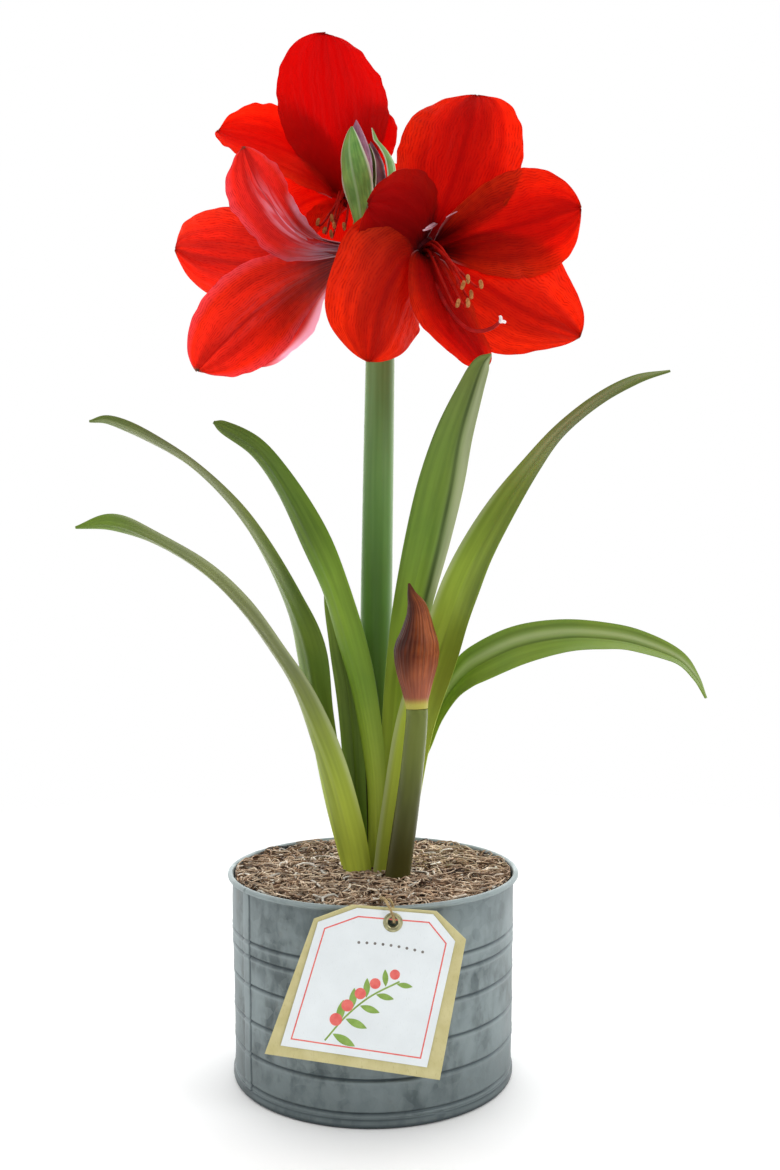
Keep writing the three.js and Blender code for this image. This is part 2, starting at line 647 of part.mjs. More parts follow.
// ---- pedicels, bracts and flower buds --------------------------------------------------------
const pedicels = {
  right: {
    path: [
      [9.2, 9, 440.3], [9.2, 9, 444], [15, 11, 457], [21.5, 14.5, 474], [24.8, 12, 485],
      [27.3, 0.5, 486.6], [29.5, -11.7, 484.9],
    ],
    radii: [2.4, 2.6, 3, 3.4, 4.4, 6.2, 4.4],
  },
  left: {
    path: [
      [3.1, 4.8, 440.3], [3.1, 4.8, 444], [8, -1, 457], [13, -6.5, 474], [13.6, -9.8, 487],
      [4.8, -6.8, 490.3], [-6.6, -2.1, 488.1],
    ],
    radii: [2.4, 2.6, 3, 3.4, 4.4, 6.2, 4.4],
  },
  back: {
    path: [
      [2.2, 15, 440.3], [2.2, 15, 444], [-3, 34, 463], [-10, 58, 491], [-16, 78, 518],
      [-17.9, 74.6, 534], [-18.3, 62.3, 536.5],
    ],
    radii: [2.4, 2.6, 3, 3.4, 4.4, 6.2, 4.4],
  },
  bud_a: {
    path: [
      [-1.25, 10.7, 440.3], [-1.25, 10.7, 444], [-2.5, 11, 462], [-4.6, 11, 482], [-6.6, 8.4, 497],
      [-6.9, 8, 504],
    ],
    radii: [2.4, 2.5, 2.8, 3.2, 4.6, 3.4],
  },
  bud_b: {
    path: [
      [7.4, 14.1, 440.3], [7.4, 14.1, 444], [7.6, 15.5, 462], [7.8, 18.5, 486], [7, 22.6, 509],
      [5.75, 23, 519.1],
    ],
    radii: [2.4, 2.5, 2.7, 3, 4, 2.6],
  },
};

function pedicel({ path, radii }) {
  return stalk(path, radii, 7, 2);
}

// Two papery bracts stand on the scape's top, outside the pedicels.
const bracts = {
  bract_left: { turn: 216, lean: 14, length: 34, width: 12 },
  bract_right: { turn: 318, lean: 14, length: 20, width: 5 },
};
const scapeTop = { x: 4, y: 10, z: 440, radius: 8.7 };

function bract({ turn, lean, length, width }) {
  const outward = v3(Math.cos(radians(turn)), Math.sin(radians(turn)), 0);
  const across = v3(-outward.y, outward.x, 0);
  const foot = v3(scapeTop.x, scapeTop.y, scapeTop.z + CLEARANCE);
  const pointAt = (u, v) => {
    const half = (width / 2) * Math.max(0.08, (1 - u ** 2) * (0.5 + 0.5 * smooth(u / 0.3)));
    const away = scapeTop.radius - 0.7 + length * u * Math.sin(radians(lean) * u);
    return foot.clone()
      .addScaledVector(outward, away - 0.9 * v * v)
      .addScaledVector(across, half * v)
      .add(v3(0, 0, length * u));
  };
  return blade(pointAt, () => sepalThickness, 6, 2);
}

// A bud's outer sepals leave its base at the turn [at the foot, at the tip] round its axis and
// bulge off the coloured heart halfway up.
const buds = {
  bud_a: {
    base: [-6.9, 8, 504.4],
    axis: [-0.055, 0, 0.998],
    length: 66,
    radius: 8.6,
    sepals: [
      { turn: [92, 128], width: 23, reach: 60, bulge: 0.8 },
      { turn: [215, 215], width: 9, reach: 56, bulge: 0.6 },
      { turn: [330, 330], width: 8, reach: 52, bulge: 0.6 },
    ],
  },
  bud_b: {
    base: [5.7, 23, 519.5],
    axis: [-0.175, 0, 0.985],
    length: 44,
    radius: 5.8,
    sepals: [
      { turn: [20, 40], width: 11, reach: 51, bulge: 4.5 },
      { turn: [200, 200], width: 7, reach: 40, bulge: 0.6 },
      { turn: [290, 290], width: 7, reach: 40, bulge: 0.6 },
    ],
  },
};
const sepalGap = 0.55; // between the bud's coloured heart and its green outer sepals

// Radius of a closed bud's heart at a share of its length: a narrow foot and a full upper half.
function heartRadius(radius, u) {
  const belly = THREE.MathUtils.lerp(0.36, 1, smooth(u / 0.5));
  return radius * belly * Math.max(0, 1 - ramp(u, 0.6, 1) ** 1.6);
}

function budHeart({ base, axis, length, radius }) {
  const profile = [[0, 3.2]];
  for (const u of [0.08, 0.2, 0.32, 0.44, 0.58, 0.7, 0.82, 0.92]) {
    profile.push([heartRadius(radius, u), length * u]);
  }
  profile.push([0, length]);
  return alongAxis(turned(profile, 10), base, axis);
}

function budSepals({ base, axis, length, radius, sepals }) {
  const foot = heartRadius(radius, 0) + sepalGap + sepalThickness;
  const cup = alongAxis(turned([[0, 0], [foot - 0.6, 0], [foot + 1, 2.6], [0, 2.6]], 9), base, axis);
  const { forward, up, right } = flowerFrame(axis);
  const blades = sepals.map(({ turn, width, reach, bulge }) => {
    const pointAt = (u, v) => {
      const height = 1.2 + (reach - 1.2) * u;
      const heart = Math.max(0.8, heartRadius(radius, Math.min(1, height / length)));
      const away = heart + sepalGap + sepalThickness * 0.5 + bulge * Math.sin(Math.PI * u) + 0.8 * u;
      const half = (width / 2) * Math.max(0.06, Math.sin(Math.PI * (0.14 + 0.86 * u)) ** 0.75);
      const swing = radians(THREE.MathUtils.lerp(turn[0], turn[1], u)) + (half * v) / away;
      return v3(...base)
        .addScaledVector(forward, height)
        .addScaledVector(up, away * Math.cos(swing))
        .addScaledVector(right, away * Math.sin(swing));
    };
    return blade(pointAt, () => sepalThickness, 6, Math.ceil(width / 5));
  });
  return fuse([cup, ...blades]);
}

// ---- hang tag and its twine -------------------------------------------------------------------
const tag = {
  lean: -8.5, // turn of the bottom edge from level, in degrees
  corner: [-55.4, 43], // x and z of the lower left corner
  backFace: -89.6, // y of the face towards the pot
  backing: [[0, 0], [92.4, 0], [95.1, 74.5], [77.8, 86.8], [33.6, 83.6], [15, 73.4]],
  backingThickness: 0.8,
  card: [[7.6, 5.9], [84.7, 5.9], [89.5, 73], [76.2, 85.2], [36.5, 82.6], [17.4, 72.4]],
  cardThickness: 0.6,
  eyelet: [56, 78], // centre on the tag
  punchedHole: 3.6,
  eyeletHole: 2.7,
  eyeletFlange: 5.2,
  eyeletBackFlange: 3.9,
};
const twine = {
  diameter: 1.5,
  sides: 8,
  steps: 30,
  path: [
    [4.2, -67, mossHeight(4.2, -67) + 1.1], [4.4, -68, 115], [5, -73, 119.2], [6, -80, 121.4],
    [7.2, -86.5, 122.6],
    [8.8, -92, 121.6], [10.6, -94, 118.4], [11.8, -93.6, 114.6], [12.1, -91.8, 112.5], [12.1, -90.2, 111.9],
    [12.1, -88.5, 112.4], [12.1, -87.8, 114], [12, -87.7, 116.4], [11.6, -87.5, 118.8], [10.8, -86, 120.9],
    [9.6, -81, 121], [8.6, -76, 119], [7.7, -71, 116], [7.6, -70.4, mossHeight(7.6, -70.4) + 1.9],
  ],
};

function flatPlate(corners, thickness, y) {
  const shape = new THREE.Shape(corners.map(([a, b]) => new THREE.Vector2(a, b)));
  const round = new THREE.Path();
  round.absarc(tag.eyelet[0], tag.eyelet[1], tag.punchedHole, 0, 2 * Math.PI, true);
  shape.holes.push(round);
  return new THREE.ExtrudeGeometry(shape, { depth: thickness, bevelEnabled: false, curveSegments: 10 })
    .rotateX(Math.PI / 2)
    .translate(0, y, 0);
}

function tagEyelet() {
  const { eyeletHole: hole, eyeletFlange: flange, eyeletBackFlange: backFlange, backFace } = tag;
  const back = backFace + CLEARANCE;
  const front = backFace - tag.backingThickness - CLEARANCE - tag.cardThickness - CLEARANCE;
  const profile = [
    [hole, back + 0.4], [backFlange, back + 0.4], [backFlange, back], [hole + 0.6, back],
    [hole + 0.6, front], [flange, front], [flange - 0.8, front - 0.7], [hole, front - 0.7],
  ];
  profile.push(profile[0]);
  profile.reverse();
  const ring = new THREE.LatheGeometry(profile.map(([r, y]) => new THREE.Vector2(r, y)), 16);
  return ring.translate(tag.eyelet[0], 0, tag.eyelet[1]);
}

function twineTube() {
  const curve = new THREE.CatmullRomCurve3(twine.path.map((p) => v3(...p)), false, "centripetal");
  const section = new THREE.Shape();
  section.absarc(0, 0, twine.diameter / 2, 0, 2 * Math.PI);
  return new THREE.ExtrudeGeometry(section, {
    steps: twine.steps,
    curveSegments: twine.sides / 2,
    extrudePath: curve,
    bevelEnabled: false,
  });
}

// ---- assembly -----------------------------------------------------------------------------
const finish = (color, roughness, metalness = 0) => {
  return new THREE.MeshStandardMaterial({ color, roughness, metalness });
};
const finishes = {
  galvanised: finish(0x7c8a8c, 0.45, 0.8),
  soil: finish(0x35251a, 0.95),
  moss: finish(0x8a6b55, 0.95),
  bulbSkin: finish(0x8c5a34, 0.7),
  leaf: finish(0x5c8a2f, 0.5),
  scape: finish(0x5f7f3e, 0.5),
  youngScape: finish(0x6b7040, 0.5),
  spathe: finish(0x8e3b2c, 0.55),
  tepal: finish(0xd01810, 0.45),
  stamen: finish(0xb5201c, 0.5),
  pedicel: finish(0x6f8a3c, 0.5),
  bract: finish(0xa08a6a, 0.7),
  budHeart: finish(0x8e4a5c, 0.5),
  budSepal: finish(0x6a9a55, 0.5),
  kraft: finish(0xc8b070, 0.85),
  card: finish(0xf2efe8, 0.7),
  eyelet: finish(0x8f8558, 0.35, 0.9),
  twine: finish(0xa08458, 0.9),
};

const plant = new THREE.Group();

function place(name, geometry, material, parent = plant) {
  const mesh = new THREE.Mesh(geometry, material);
  mesh.name = name;
  parent.add(mesh);
}

place("pot_wall", potWall(), finishes.galvanised);
place("pot_base", potBase(), finishes.galvanised);
place("potting_mix", pottingMix(), finishes.soil);
place("moss_topping", mossTopping(), finishes.moss);
place("bulb", bulbSolid(), finishes.bulbSkin);
for (const [name, leaf] of Object.entries(leaves)) place(name, leafBlade(leaf), finishes.leaf);
place("scape_main", stalk(scapes.main.path, scapes.main.radii, 14, 1), finishes.scape);
place("scape_young", stalk(scapes.young.path, scapes.young.radii, 12, 1), finishes.youngScape);
place("spathe_young", stalk(spathe.path, spathe.radii, 11, 1), finishes.spathe);
for (const [name, shape] of Object.entries(bracts)) place(name, bract(shape), finishes.bract);
for (const [name, flower] of Object.entries(flowers)) {
  place(`bloom_${name}`, bloom(flower), finishes.tepal);
  place(`stamens_${name}`, stamens(flower), finishes.stamen);
}
for (const [name, shape] of Object.entries(pedicels)) {
  place(`pedicel_${name}`, pedicel(shape), finishes.pedicel);
}
for (const [name, bud] of Object.entries(buds)) {
  place(`${name}_heart`, budHeart(bud), finishes.budHeart);
  place(`${name}_sepals`, budSepals(bud), finishes.budSepal);
}

const hangTag = new THREE.Group();
hangTag.position.set(tag.corner[0], 0, tag.corner[1]);
hangTag.rotation.y = radians(-tag.lean);
plant.add(hangTag);
const cardBack = tag.backFace - tag.backingThickness - CLEARANCE;
const backing = flatPlate(tag.backing, tag.backingThickness, tag.backFace);
const card = flatPlate(tag.card, tag.cardThickness, cardBack);
place("tag_backing", backing, finishes.kraft, hangTag);
place("tag_card", card, finishes.card, hangTag);
place("tag_eyelet", tagEyelet(), finishes.eyelet, hangTag);
place("tag_twine", twineTube(), finishes.twine);

export default plant;
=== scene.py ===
import math

import bmesh
import bpy
import numpy as np
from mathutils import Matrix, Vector


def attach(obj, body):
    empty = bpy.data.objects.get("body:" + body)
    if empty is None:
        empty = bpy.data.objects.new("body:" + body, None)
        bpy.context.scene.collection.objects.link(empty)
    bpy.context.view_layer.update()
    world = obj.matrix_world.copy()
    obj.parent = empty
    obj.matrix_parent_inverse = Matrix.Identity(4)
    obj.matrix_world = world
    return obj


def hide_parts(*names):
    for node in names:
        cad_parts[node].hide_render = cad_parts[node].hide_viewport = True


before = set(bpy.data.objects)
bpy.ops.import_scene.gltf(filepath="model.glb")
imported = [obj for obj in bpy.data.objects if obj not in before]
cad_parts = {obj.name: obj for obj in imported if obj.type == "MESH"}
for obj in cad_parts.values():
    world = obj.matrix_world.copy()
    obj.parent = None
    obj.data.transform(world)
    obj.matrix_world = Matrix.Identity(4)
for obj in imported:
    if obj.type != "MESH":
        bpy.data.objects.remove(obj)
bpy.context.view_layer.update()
mm = 0.001  # the dictionaries are in millimetres unless they say so, and meshes are in metres
white = (1, 1, 1, 1)
print("frame loaded")


# Camera, lamps and floor, in metres. The surround is white to the eye; as a light it is dim in front,
# brighter at the sides and brightest behind the plant.
studio = {
    "camera": (0.010, -0.690, 0.2875),
    "lens": 35.385,
    "surround": {"front": 0.27, "side": 0.85, "behind": 3.0},
    "floorReach": 1.6,
    "floorDrop": 0.0003,
    "floorFade": (0.35, 0.95),
    "lamps": {
        "windowRight": {"place": (1.15, -1.0, 1.0), "size": 0.6, "watts": 9},
        "softLeft": {"place": (-1.2, -0.8, 0.9), "size": 0.9, "watts": 4},
    },
    "aim": (0.0, 0.0, 0.38),
}


def addObject(name, data):
    made = bpy.data.objects.new(name, data)
    bpy.context.scene.collection.objects.link(made)
    return made


def addCamera():
    lens = bpy.data.cameras.new("camera")
    lens.lens = studio["lens"]
    holder = addObject("camera", lens)
    holder.location = studio["camera"]
    holder.rotation_euler = (math.radians(90), 0, 0)
    bpy.context.scene.camera = holder


def addLamp(name, place, size, watts):
    lamp = bpy.data.lights.new(name, "AREA")
    lamp.size, lamp.energy = size, watts
    holder = addObject(name, lamp)
    holder.location = place
    holder.rotation_euler = (Vector(studio["aim"]) - Vector(place)).to_track_quat("-Z", "Y").to_euler()
    holder.visible_camera = False


def addSurround():
    world = bpy.data.worlds.new("surround")
    world.use_nodes = True
    tree = world.node_tree
    tree.nodes.clear()
    front, side, behind = (studio["surround"][key] for key in ("front", "side", "behind"))
    depth = separate(tree, put(tree, "ShaderNodeTexCoord").outputs["Generated"])[1]
    strength = reckon(tree, "ADD", remap(tree, depth, -1, 0, front, side, "LINEAR"),
                      remap(tree, depth, 0, 1, 0, behind - side, "LINEAR"))
    lit = put(tree, "ShaderNodeBackground", {0: white, 1: strength})
    seen = put(tree, "ShaderNodeBackground", {0: white, 1: 1.0})
    eye = put(tree, "ShaderNodeLightPath").outputs["Is Camera Ray"]
    both = put(tree, "ShaderNodeMixShader", {0: eye, 1: lit.outputs[0], 2: seen.outputs[0]})
    put(tree, "ShaderNodeOutputWorld", {"Surface": both.outputs[0]})
    bpy.context.scene.world = world


# Vector sums and splines, on arrays of points.
def unit(vectors):
    return vectors / np.maximum(np.linalg.norm(vectors, axis=-1, keepdims=True), 1e-12)


def ease(x):
    x = np.clip(x, 0, 1)
    return x * x * (3 - 2 * x)


def ramp(x, low, high):
    return np.clip((np.asarray(x, float) - low) / (high - low), 0, 1)


def bump(x, centre, width):
    return np.exp(-(((x - centre) / width) ** 2))


def spline(points, shares, centripetal=False):
    # Catmull-Rom through the points, at each share of its spans
    p = np.array(points, float)
    ends = np.vstack([2 * p[0] - p[1], p, 2 * p[-1] - p[-2]])
    spans = len(p) - 1
    place = np.clip(np.asarray(shares, float), 0, 1) * spans
    k = np.minimum(place.astype(int), spans - 1)
    w = (place - k)[:, None]
    a, b, c, d = ends[k], ends[k + 1], ends[k + 2], ends[k + 3]
    if centripetal:
        da, db, dc = (np.maximum(np.sum((n - m) ** 2, 1, keepdims=True) ** 0.25, 1e-6)
                      for m, n in ((a, b), (b, c), (c, d)))
        t1 = ((b - a) / da - (c - a) / (da + db) + (c - b) / db) * db
        t2 = ((c - b) / db - (d - b) / (db + dc) + (d - c) / dc) * db
    else:
        t1, t2 = (c - a) / 2, (d - b) / 2
    return b + t1 * w + (3 * (c - b) - 2 * t1 - t2) * w**2 + (2 * (b - c) + t1 + t2) * w**3


# Parts are points, faces, a UV for each face corner, masks for each point and a finish for each face.
def gridFaces(rows, columns, wrapRows=False, wrapColumns=False):
    lastRow = rows if wrapRows else rows - 1
    lastColumn = columns if wrapColumns else columns - 1
    faces, uv = [], []
    for i in range(lastRow):
        for j in range(lastColumn):
            low, high, beside = i * columns, ((i + 1) % rows) * columns, (j + 1) % columns
            faces.append((low + j, low + beside, high + beside, high + j))
            a, b, c, d = j / lastColumn, (j + 1) / lastColumn, i / lastRow, (i + 1) / lastRow
            uv += [(a, c), (b, c), (b, d), (a, d)]
    return faces, uv


def part(points, faces, uv, masks=None, finish=0):
    return {"points": np.asarray(points, float), "faces": faces, "uv": uv,
            "masks": masks or {}, "finish": finish}


def shellPart(grid, thickness, masks=None, finish=0):
    # a thin closed sheet round a grid of points: the mask "face" is 0 on its front and 1 on its back
    rows, columns = grid.shape[:2]
    normal = unit(np.cross(np.gradient(grid, axis=0), np.gradient(grid, axis=1)))
    half = (np.broadcast_to(thickness, (rows, columns)) / 2)[..., None] * normal
    count = rows * columns
    flat, _ = gridFaces(rows, columns)
    faces = [tuple(reversed(f)) for f in flat] + [tuple(k + count for k in f) for f in flat]
    for i in range(rows - 1):
        a, b = i * columns, (i + 1) * columns
        faces.append((a, a + count, b + count, b))
        a, b = a + columns - 1, b + columns - 1
        faces.append((a, b, b + count, a + count))
    for j in range(columns - 1):
        faces.append((j, j + 1, j + 1 + count, j + count))
        a = (rows - 1) * columns + j
        faces.append((a, a + count, a + 1 + count, a + 1))
    u, v = np.meshgrid(np.linspace(0, 1, rows), np.linspace(0, 1, columns), indexing="ij")
    spot = np.stack([np.tile(v.ravel(), 2), np.tile(u.ravel(), 2)], -1)
    found = {"face": np.repeat([0.0, 1.0], count)}
    for name, values in (masks or {}).items():
        found[name] = np.tile(np.broadcast_to(values, (rows, columns)).ravel(), 2)
    points = np.vstack([(grid + half).reshape(-1, 3), (grid - half).reshape(-1, 3)])
    return part(points, faces, spot[np.concatenate([np.array(f) for f in faces])], found, finish)


def ringsPart(rings, masks=None, finish=0):
    # rings of points closed with a fan at each end
    rows, columns = rings.shape[:2]
    faces, uv = gridFaces(rows, columns, wrapColumns=True)
    foot, head, last = rows * columns, rows * columns + 1, (rows - 1) * columns
    for j in range(columns):
        k = (j + 1) % columns
        faces += [(foot, k, j), (head, last + j, last + k)]
        uv += [(j / columns, 0)] * 3 + [(j / columns, 1)] * 3
    found = {}
    for name, values in (masks or {}).items():
        spread = np.broadcast_to(values, (rows, columns))
        found[name] = np.concatenate([spread.ravel(), [spread[0].mean(), spread[-1].mean()]])
    points = np.vstack([rings.reshape(-1, 3), rings[0].mean(0), rings[-1].mean(0)])
    return part(points, faces, uv, found, finish)


def carriedFrame(path):
    # side and up directions that turn as little as they can along a path
    tangent = unit(np.gradient(path, axis=0))
    side, last = np.zeros_like(path), np.array([1.0, 0.0, 0.0])
    for i, t in enumerate(tangent):
        last = unit(last - t * (last @ t))
        side[i] = last
    return side, np.cross(tangent, side)


def tubePart(path, radii, sides, shape=None, masks=None, finish=0):
    # a stalk along a path; shape(u, angle) scales its radius
    path = np.asarray(path, float)
    side, up = carriedFrame(path)
    angle = np.linspace(0, 2 * math.pi, sides, endpoint=False)[None, :]
    radius = np.broadcast_to(np.asarray(radii, float).reshape(-1, 1), (len(path), sides))
    if shape is not None:
        radius = radius * shape(np.linspace(0, 1, len(path))[:, None], angle)
    rings = path[:, None] + radius[..., None] * (
        np.cos(angle)[..., None] * side[:, None] + np.sin(angle)[..., None] * up[:, None])
    return ringsPart(rings, masks, finish)


def flowerFrame(axis):
    forward = unit(np.array(axis, float))
    up = unit(np.array([0, 0, 1.0]) - forward * forward[2])
    return forward, up, np.cross(-forward, up)


def turnedRings(profile, sides, origin, axis, shape=None):
    # rings round an axis, one for each [radius, height] of the profile
    profile = np.array(profile, float)
    if abs(axis[2]) > 0.999:
        forward, up, right = np.eye(3)[2], np.eye(3)[0], -np.eye(3)[1]
    else:
        forward, up, right = flowerFrame(axis)
    angle = np.linspace(0, 2 * math.pi, sides, endpoint=False)[None, :]
    radius = np.broadcast_to(profile[:, :1], (len(profile), sides))
    if shape is not None:
        radius = radius * shape(np.linspace(0, 1, len(profile))[:, None], angle)
    return np.array(origin, float) + profile[:, 1][:, None, None] * forward + radius[..., None] * (
        np.cos(angle)[..., None] * up - np.sin(angle)[..., None] * right)


def turnedPart(profile, sides, origin=(0, 0, 0), axis=(0, 0, 1), shape=None, finish=0):
    # a turned solid, whose profile runs from its foot to its head
    return ringsPart(turnedRings(profile, sides, origin, axis, shape), None, finish)


def ringPart(profile, sides, origin, axis):
    # a turned ring whose profile closes on itself, counter-clockwise
    faces, uv = gridFaces(len(profile), sides, wrapRows=True, wrapColumns=True)
    return part(turnedRings(profile, sides, origin, axis).reshape(-1, 3), faces, uv)


def makePiece(name, parts, finishes, stands=(), scale=mm, crease=None):
    # joins the parts into one object that rides on the body
    parts = parts if isinstance(parts, list) else [parts]
    start, faces, finish = 0, [], []
    for each in parts:
        faces += [tuple(k + start for k in f) for f in each["faces"]]
        finish += [each["finish"]] * len(each["faces"])
        start += len(each["points"])
    mesh = bpy.data.meshes.new(name)
    mesh.from_pydata((np.vstack([each["points"] for each in parts]) * scale).tolist(), [], faces)
    mesh.uv_layers.new(name="surface").data.foreach_set(
        "uv", np.vstack([np.asarray(each["uv"], float) for each in parts]).astype(np.float32).ravel())
    for mask in sorted({m for each in parts for m in each["masks"]}):
        values = [each["masks"].get(mask, np.zeros(len(each["points"]))) for each in parts]
        mesh.attributes.new(mask, "FLOAT", "POINT").data.foreach_set(
            "value", np.concatenate(values).astype(np.float32))
    mesh.shade_smooth()
    if crease:
        mesh.set_sharp_from_angle(angle=math.radians(crease))
    piece = addPiece(name, mesh, finishes, stands)
    mesh.polygons.foreach_set("material_index", finish)
    return piece


def addPiece(name, mesh, finishes, stands=()):
    piece = addObject(name, mesh)
    mesh.materials.clear()
    for finish in finishes if isinstance(finishes, list) else [finishes]:
        mesh.materials.append(finish)
    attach(piece, "root")
    if stands:
        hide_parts(*stands)
    return piece


def plainMesh(holder):
    # the mesh that an object's curve or modifier makes; the object itself is taken away
    bpy.context.view_layer.update()
    graph = bpy.context.evaluated_depsgraph_get()
    mesh = bpy.data.meshes.new_from_object(holder.evaluated_get(graph))
    holder.modifiers.clear()
    bpy.data.objects.remove(holder)
    return mesh


# Short ways to add nodes.
def paint(code):
    parts = [int(code[i:i + 2], 16) / 255 for i in (1, 3, 5)]
    return (*(c / 12.92 if c <= 0.04045 else ((c + 0.055) / 1.055) ** 2.4 for c in parts), 1.0)


def plug(tree, socket, value):
    if isinstance(value, bpy.types.NodeSocket):
        tree.links.new(value, socket)
    else:
        socket.default_value = value


def put(tree, kind, given=None, **settings):
    made = tree.nodes.new(kind)
    for key, value in settings.items():
        setattr(made, key, value)
    for key, value in (given or {}).items():
        plug(tree, made.inputs[key], value)
    return made


def blend(tree, share, low, high, kind="MIX"):
    return put(tree, "ShaderNodeMix", {0: share, 6: low, 7: high}, data_type="RGBA",
               blend_type=kind).outputs[2]


def layer(tree, colour, code, share, amount=1.0, kind="MIX"):
    # lays one more colour over the others, as far as its share and its amount say
    share = share if amount == 1.0 else times(tree, share, amount)
    return blend(tree, share, colour, paint(code), kind)


def reckon(tree, kind, *values):
    return put(tree, "ShaderNodeMath", dict(enumerate(values)), operation=kind).outputs[0]


def times(tree, first, second):
    return reckon(tree, "MULTIPLY", first, second)


def scaled(tree, value, factor, offset):
    return reckon(tree, "MULTIPLY_ADD", value, factor, offset)


def clamped(tree, value):
    return put(tree, "ShaderNodeClamp", {0: value}).outputs[0]


def combine(tree, *values):
    return put(tree, "ShaderNodeCombineXYZ", dict(enumerate(values))).outputs[0]


def separate(tree, vector):
    return tuple(put(tree, "ShaderNodeSeparateXYZ", {0: vector}).outputs)


def vectorMath(tree, kind, *values):
    return put(tree, "ShaderNodeVectorMath", dict(enumerate(values)), operation=kind).outputs


def remap(tree, value, low, high, first=0.0, last=1.0, kind="SMOOTHSTEP"):
    return put(tree, "ShaderNodeMapRange", {
        "Value": value, "From Min": low, "From Max": high, "To Min": first, "To Max": last,
    }, interpolation_type=kind).outputs[0]


def fade(tree, value, low, high):
    return remap(tree, value, low, high, 1.0, 0.0)


def mask(tree, name):
    return put(tree, "ShaderNodeAttribute", attribute_name=name).outputs["Fac"]


def surfaceSpot(tree):
    # a piece's own UV, whose X goes across it and whose Y goes along it
    return put(tree, "ShaderNodeUVMap", uv_map="surface").outputs[0]


def fromMiddle(tree, across):
    # 0 on the midrib and 1 at both margins
    return reckon(tree, "ABSOLUTE", scaled(tree, across, 2.0, -1.0))


def objectSpot(tree):
    return put(tree, "ShaderNodeTexCoord").outputs["Object"]


def noise(tree, spot, scale, detail=3.0, roughness=0.55):
    return put(tree, "ShaderNodeTexNoise", {
        "Vector": spot, "Scale": scale, "Detail": detail, "Roughness": roughness}).outputs[0]


def startMaterial(name, **values):
    material = bpy.data.materials.new(name)
    material.use_nodes = True
    tree = material.node_tree
    tree.nodes.clear()
    body = put(tree, "ShaderNodeBsdfPrincipled")
    out = put(tree, "ShaderNodeOutputMaterial", {"Surface": body.outputs[0]})
    names = {"metallic": "Metallic", "specular": "Specular IOR Level", "sheen": "Sheen Weight"}
    for key, value in values.items():
        body.inputs[names[key]].default_value = value
    return material, tree, body, out


def dress(tree, body, colour, rough, height=None, strength=0.3, depth=0.0006):
    # rough holds a mask, how much the mask adds and the roughness without it
    plug(tree, body.inputs["Base Color"], colour)
    plug(tree, body.inputs["Roughness"], scaled(tree, *rough))
    if height is not None:
        raised = put(tree, "ShaderNodeBump", {"Height": height, "Strength": strength, "Distance": depth})
        plug(tree, body.inputs["Normal"], raised.outputs[0])


def letLightThrough(tree, body, out, colour, share):
    glow = put(tree, "ShaderNodeBsdfTranslucent", {"Color": colour})
    both = put(tree, "ShaderNodeMixShader", {0: share, 1: body.outputs[0], 2: glow.outputs[0]})
    tree.links.new(both.outputs[0], out.inputs["Surface"])


# Node groups that several finishes share.
def startGroup(name, given, made):
    tree = bpy.data.node_groups.new(name, "ShaderNodeTree")
    for label, value in given.items():
        kind = "NodeSocketVector" if value is None else "NodeSocketFloat"
        socket = tree.interface.new_socket(label, in_out="INPUT", socket_type=kind)
        if value is not None:
            socket.default_value = value
    for label in made:
        tree.interface.new_socket(label, in_out="OUTPUT", socket_type="NodeSocketFloat")
    return tree, tree.nodes.new("NodeGroupInput").outputs, tree.nodes.new("NodeGroupOutput").inputs


def veinLines(tree, count, stretch, wander, spot=None):
    spot = surfaceSpot(tree) if spot is None else spot
    given = {"Surface": spot, "Count": count, "Stretch": stretch, "Wander": wander}
    return put(tree, "ShaderNodeGroup", given, node_tree=veins).outputs


def blotches(tree, size, contrast, spot=None):
    spot = objectSpot(tree) if spot is None else spot
    given = {"Spot": spot, "Size": size, "Contrast": contrast}
    return put(tree, "ShaderNodeGroup", given, node_tree=mottle).outputs


def makeVeins():
    # lines that run along a blade: X goes across it and Y along it
    tree, given, made = startGroup("veins", {"Surface": None, "Count": 20.0, "Stretch": 3.0, "Wander": 0.02},
                                   ["Lines", "Streaks"])
    x, y, _ = separate(tree, given["Surface"])
    stretched = times(tree, y, given["Stretch"])
    drift = reckon(tree, "SUBTRACT", noise(tree, combine(tree, times(tree, x, 4.0), stretched), 1.0), 0.5)
    counted = times(tree, scaled(tree, drift, given["Wander"], x), given["Count"])
    wave = scaled(tree, reckon(tree, "SINE", times(tree, counted, 2 * math.pi)), 0.5, 0.5)
    plug(tree, made["Lines"], reckon(tree, "POWER", wave, 2.2))
    streaks = noise(tree, combine(tree, counted, stretched), 1.3, 1.5, 0.5)
    plug(tree, made["Streaks"], remap(tree, streaks, 0.3, 0.7))
    return tree


def makeMottle():
    # soft blotches of a real size, with finer ones inside them
    tree, given, made = startGroup("mottle", {"Spot": None, "Size": 0.01, "Contrast": 1.0},
                                   ["Blotch", "Grain"])
    scale = reckon(tree, "DIVIDE", 1.0, given["Size"])
    wide = noise(tree, given["Spot"], scale, 5.0, 0.5)
    eased = times(tree, reckon(tree, "SUBTRACT", wide, 0.5), given["Contrast"])
    plug(tree, made["Blotch"], clamped(tree, scaled(tree, eased, 2.6, 0.5)))
    plug(tree, made["Grain"], noise(tree, given["Spot"], times(tree, scale, 9.0), 2.0, 0.5))
    return tree


veins, mottle = makeVeins(), makeMottle()
addCamera()
addSurround()
for lampName, lampValues in studio["lamps"].items():
    addLamp(lampName, **lampValues)
bpy.context.scene.view_settings.view_transform = "Standard"
print("camera, light and node groups made")


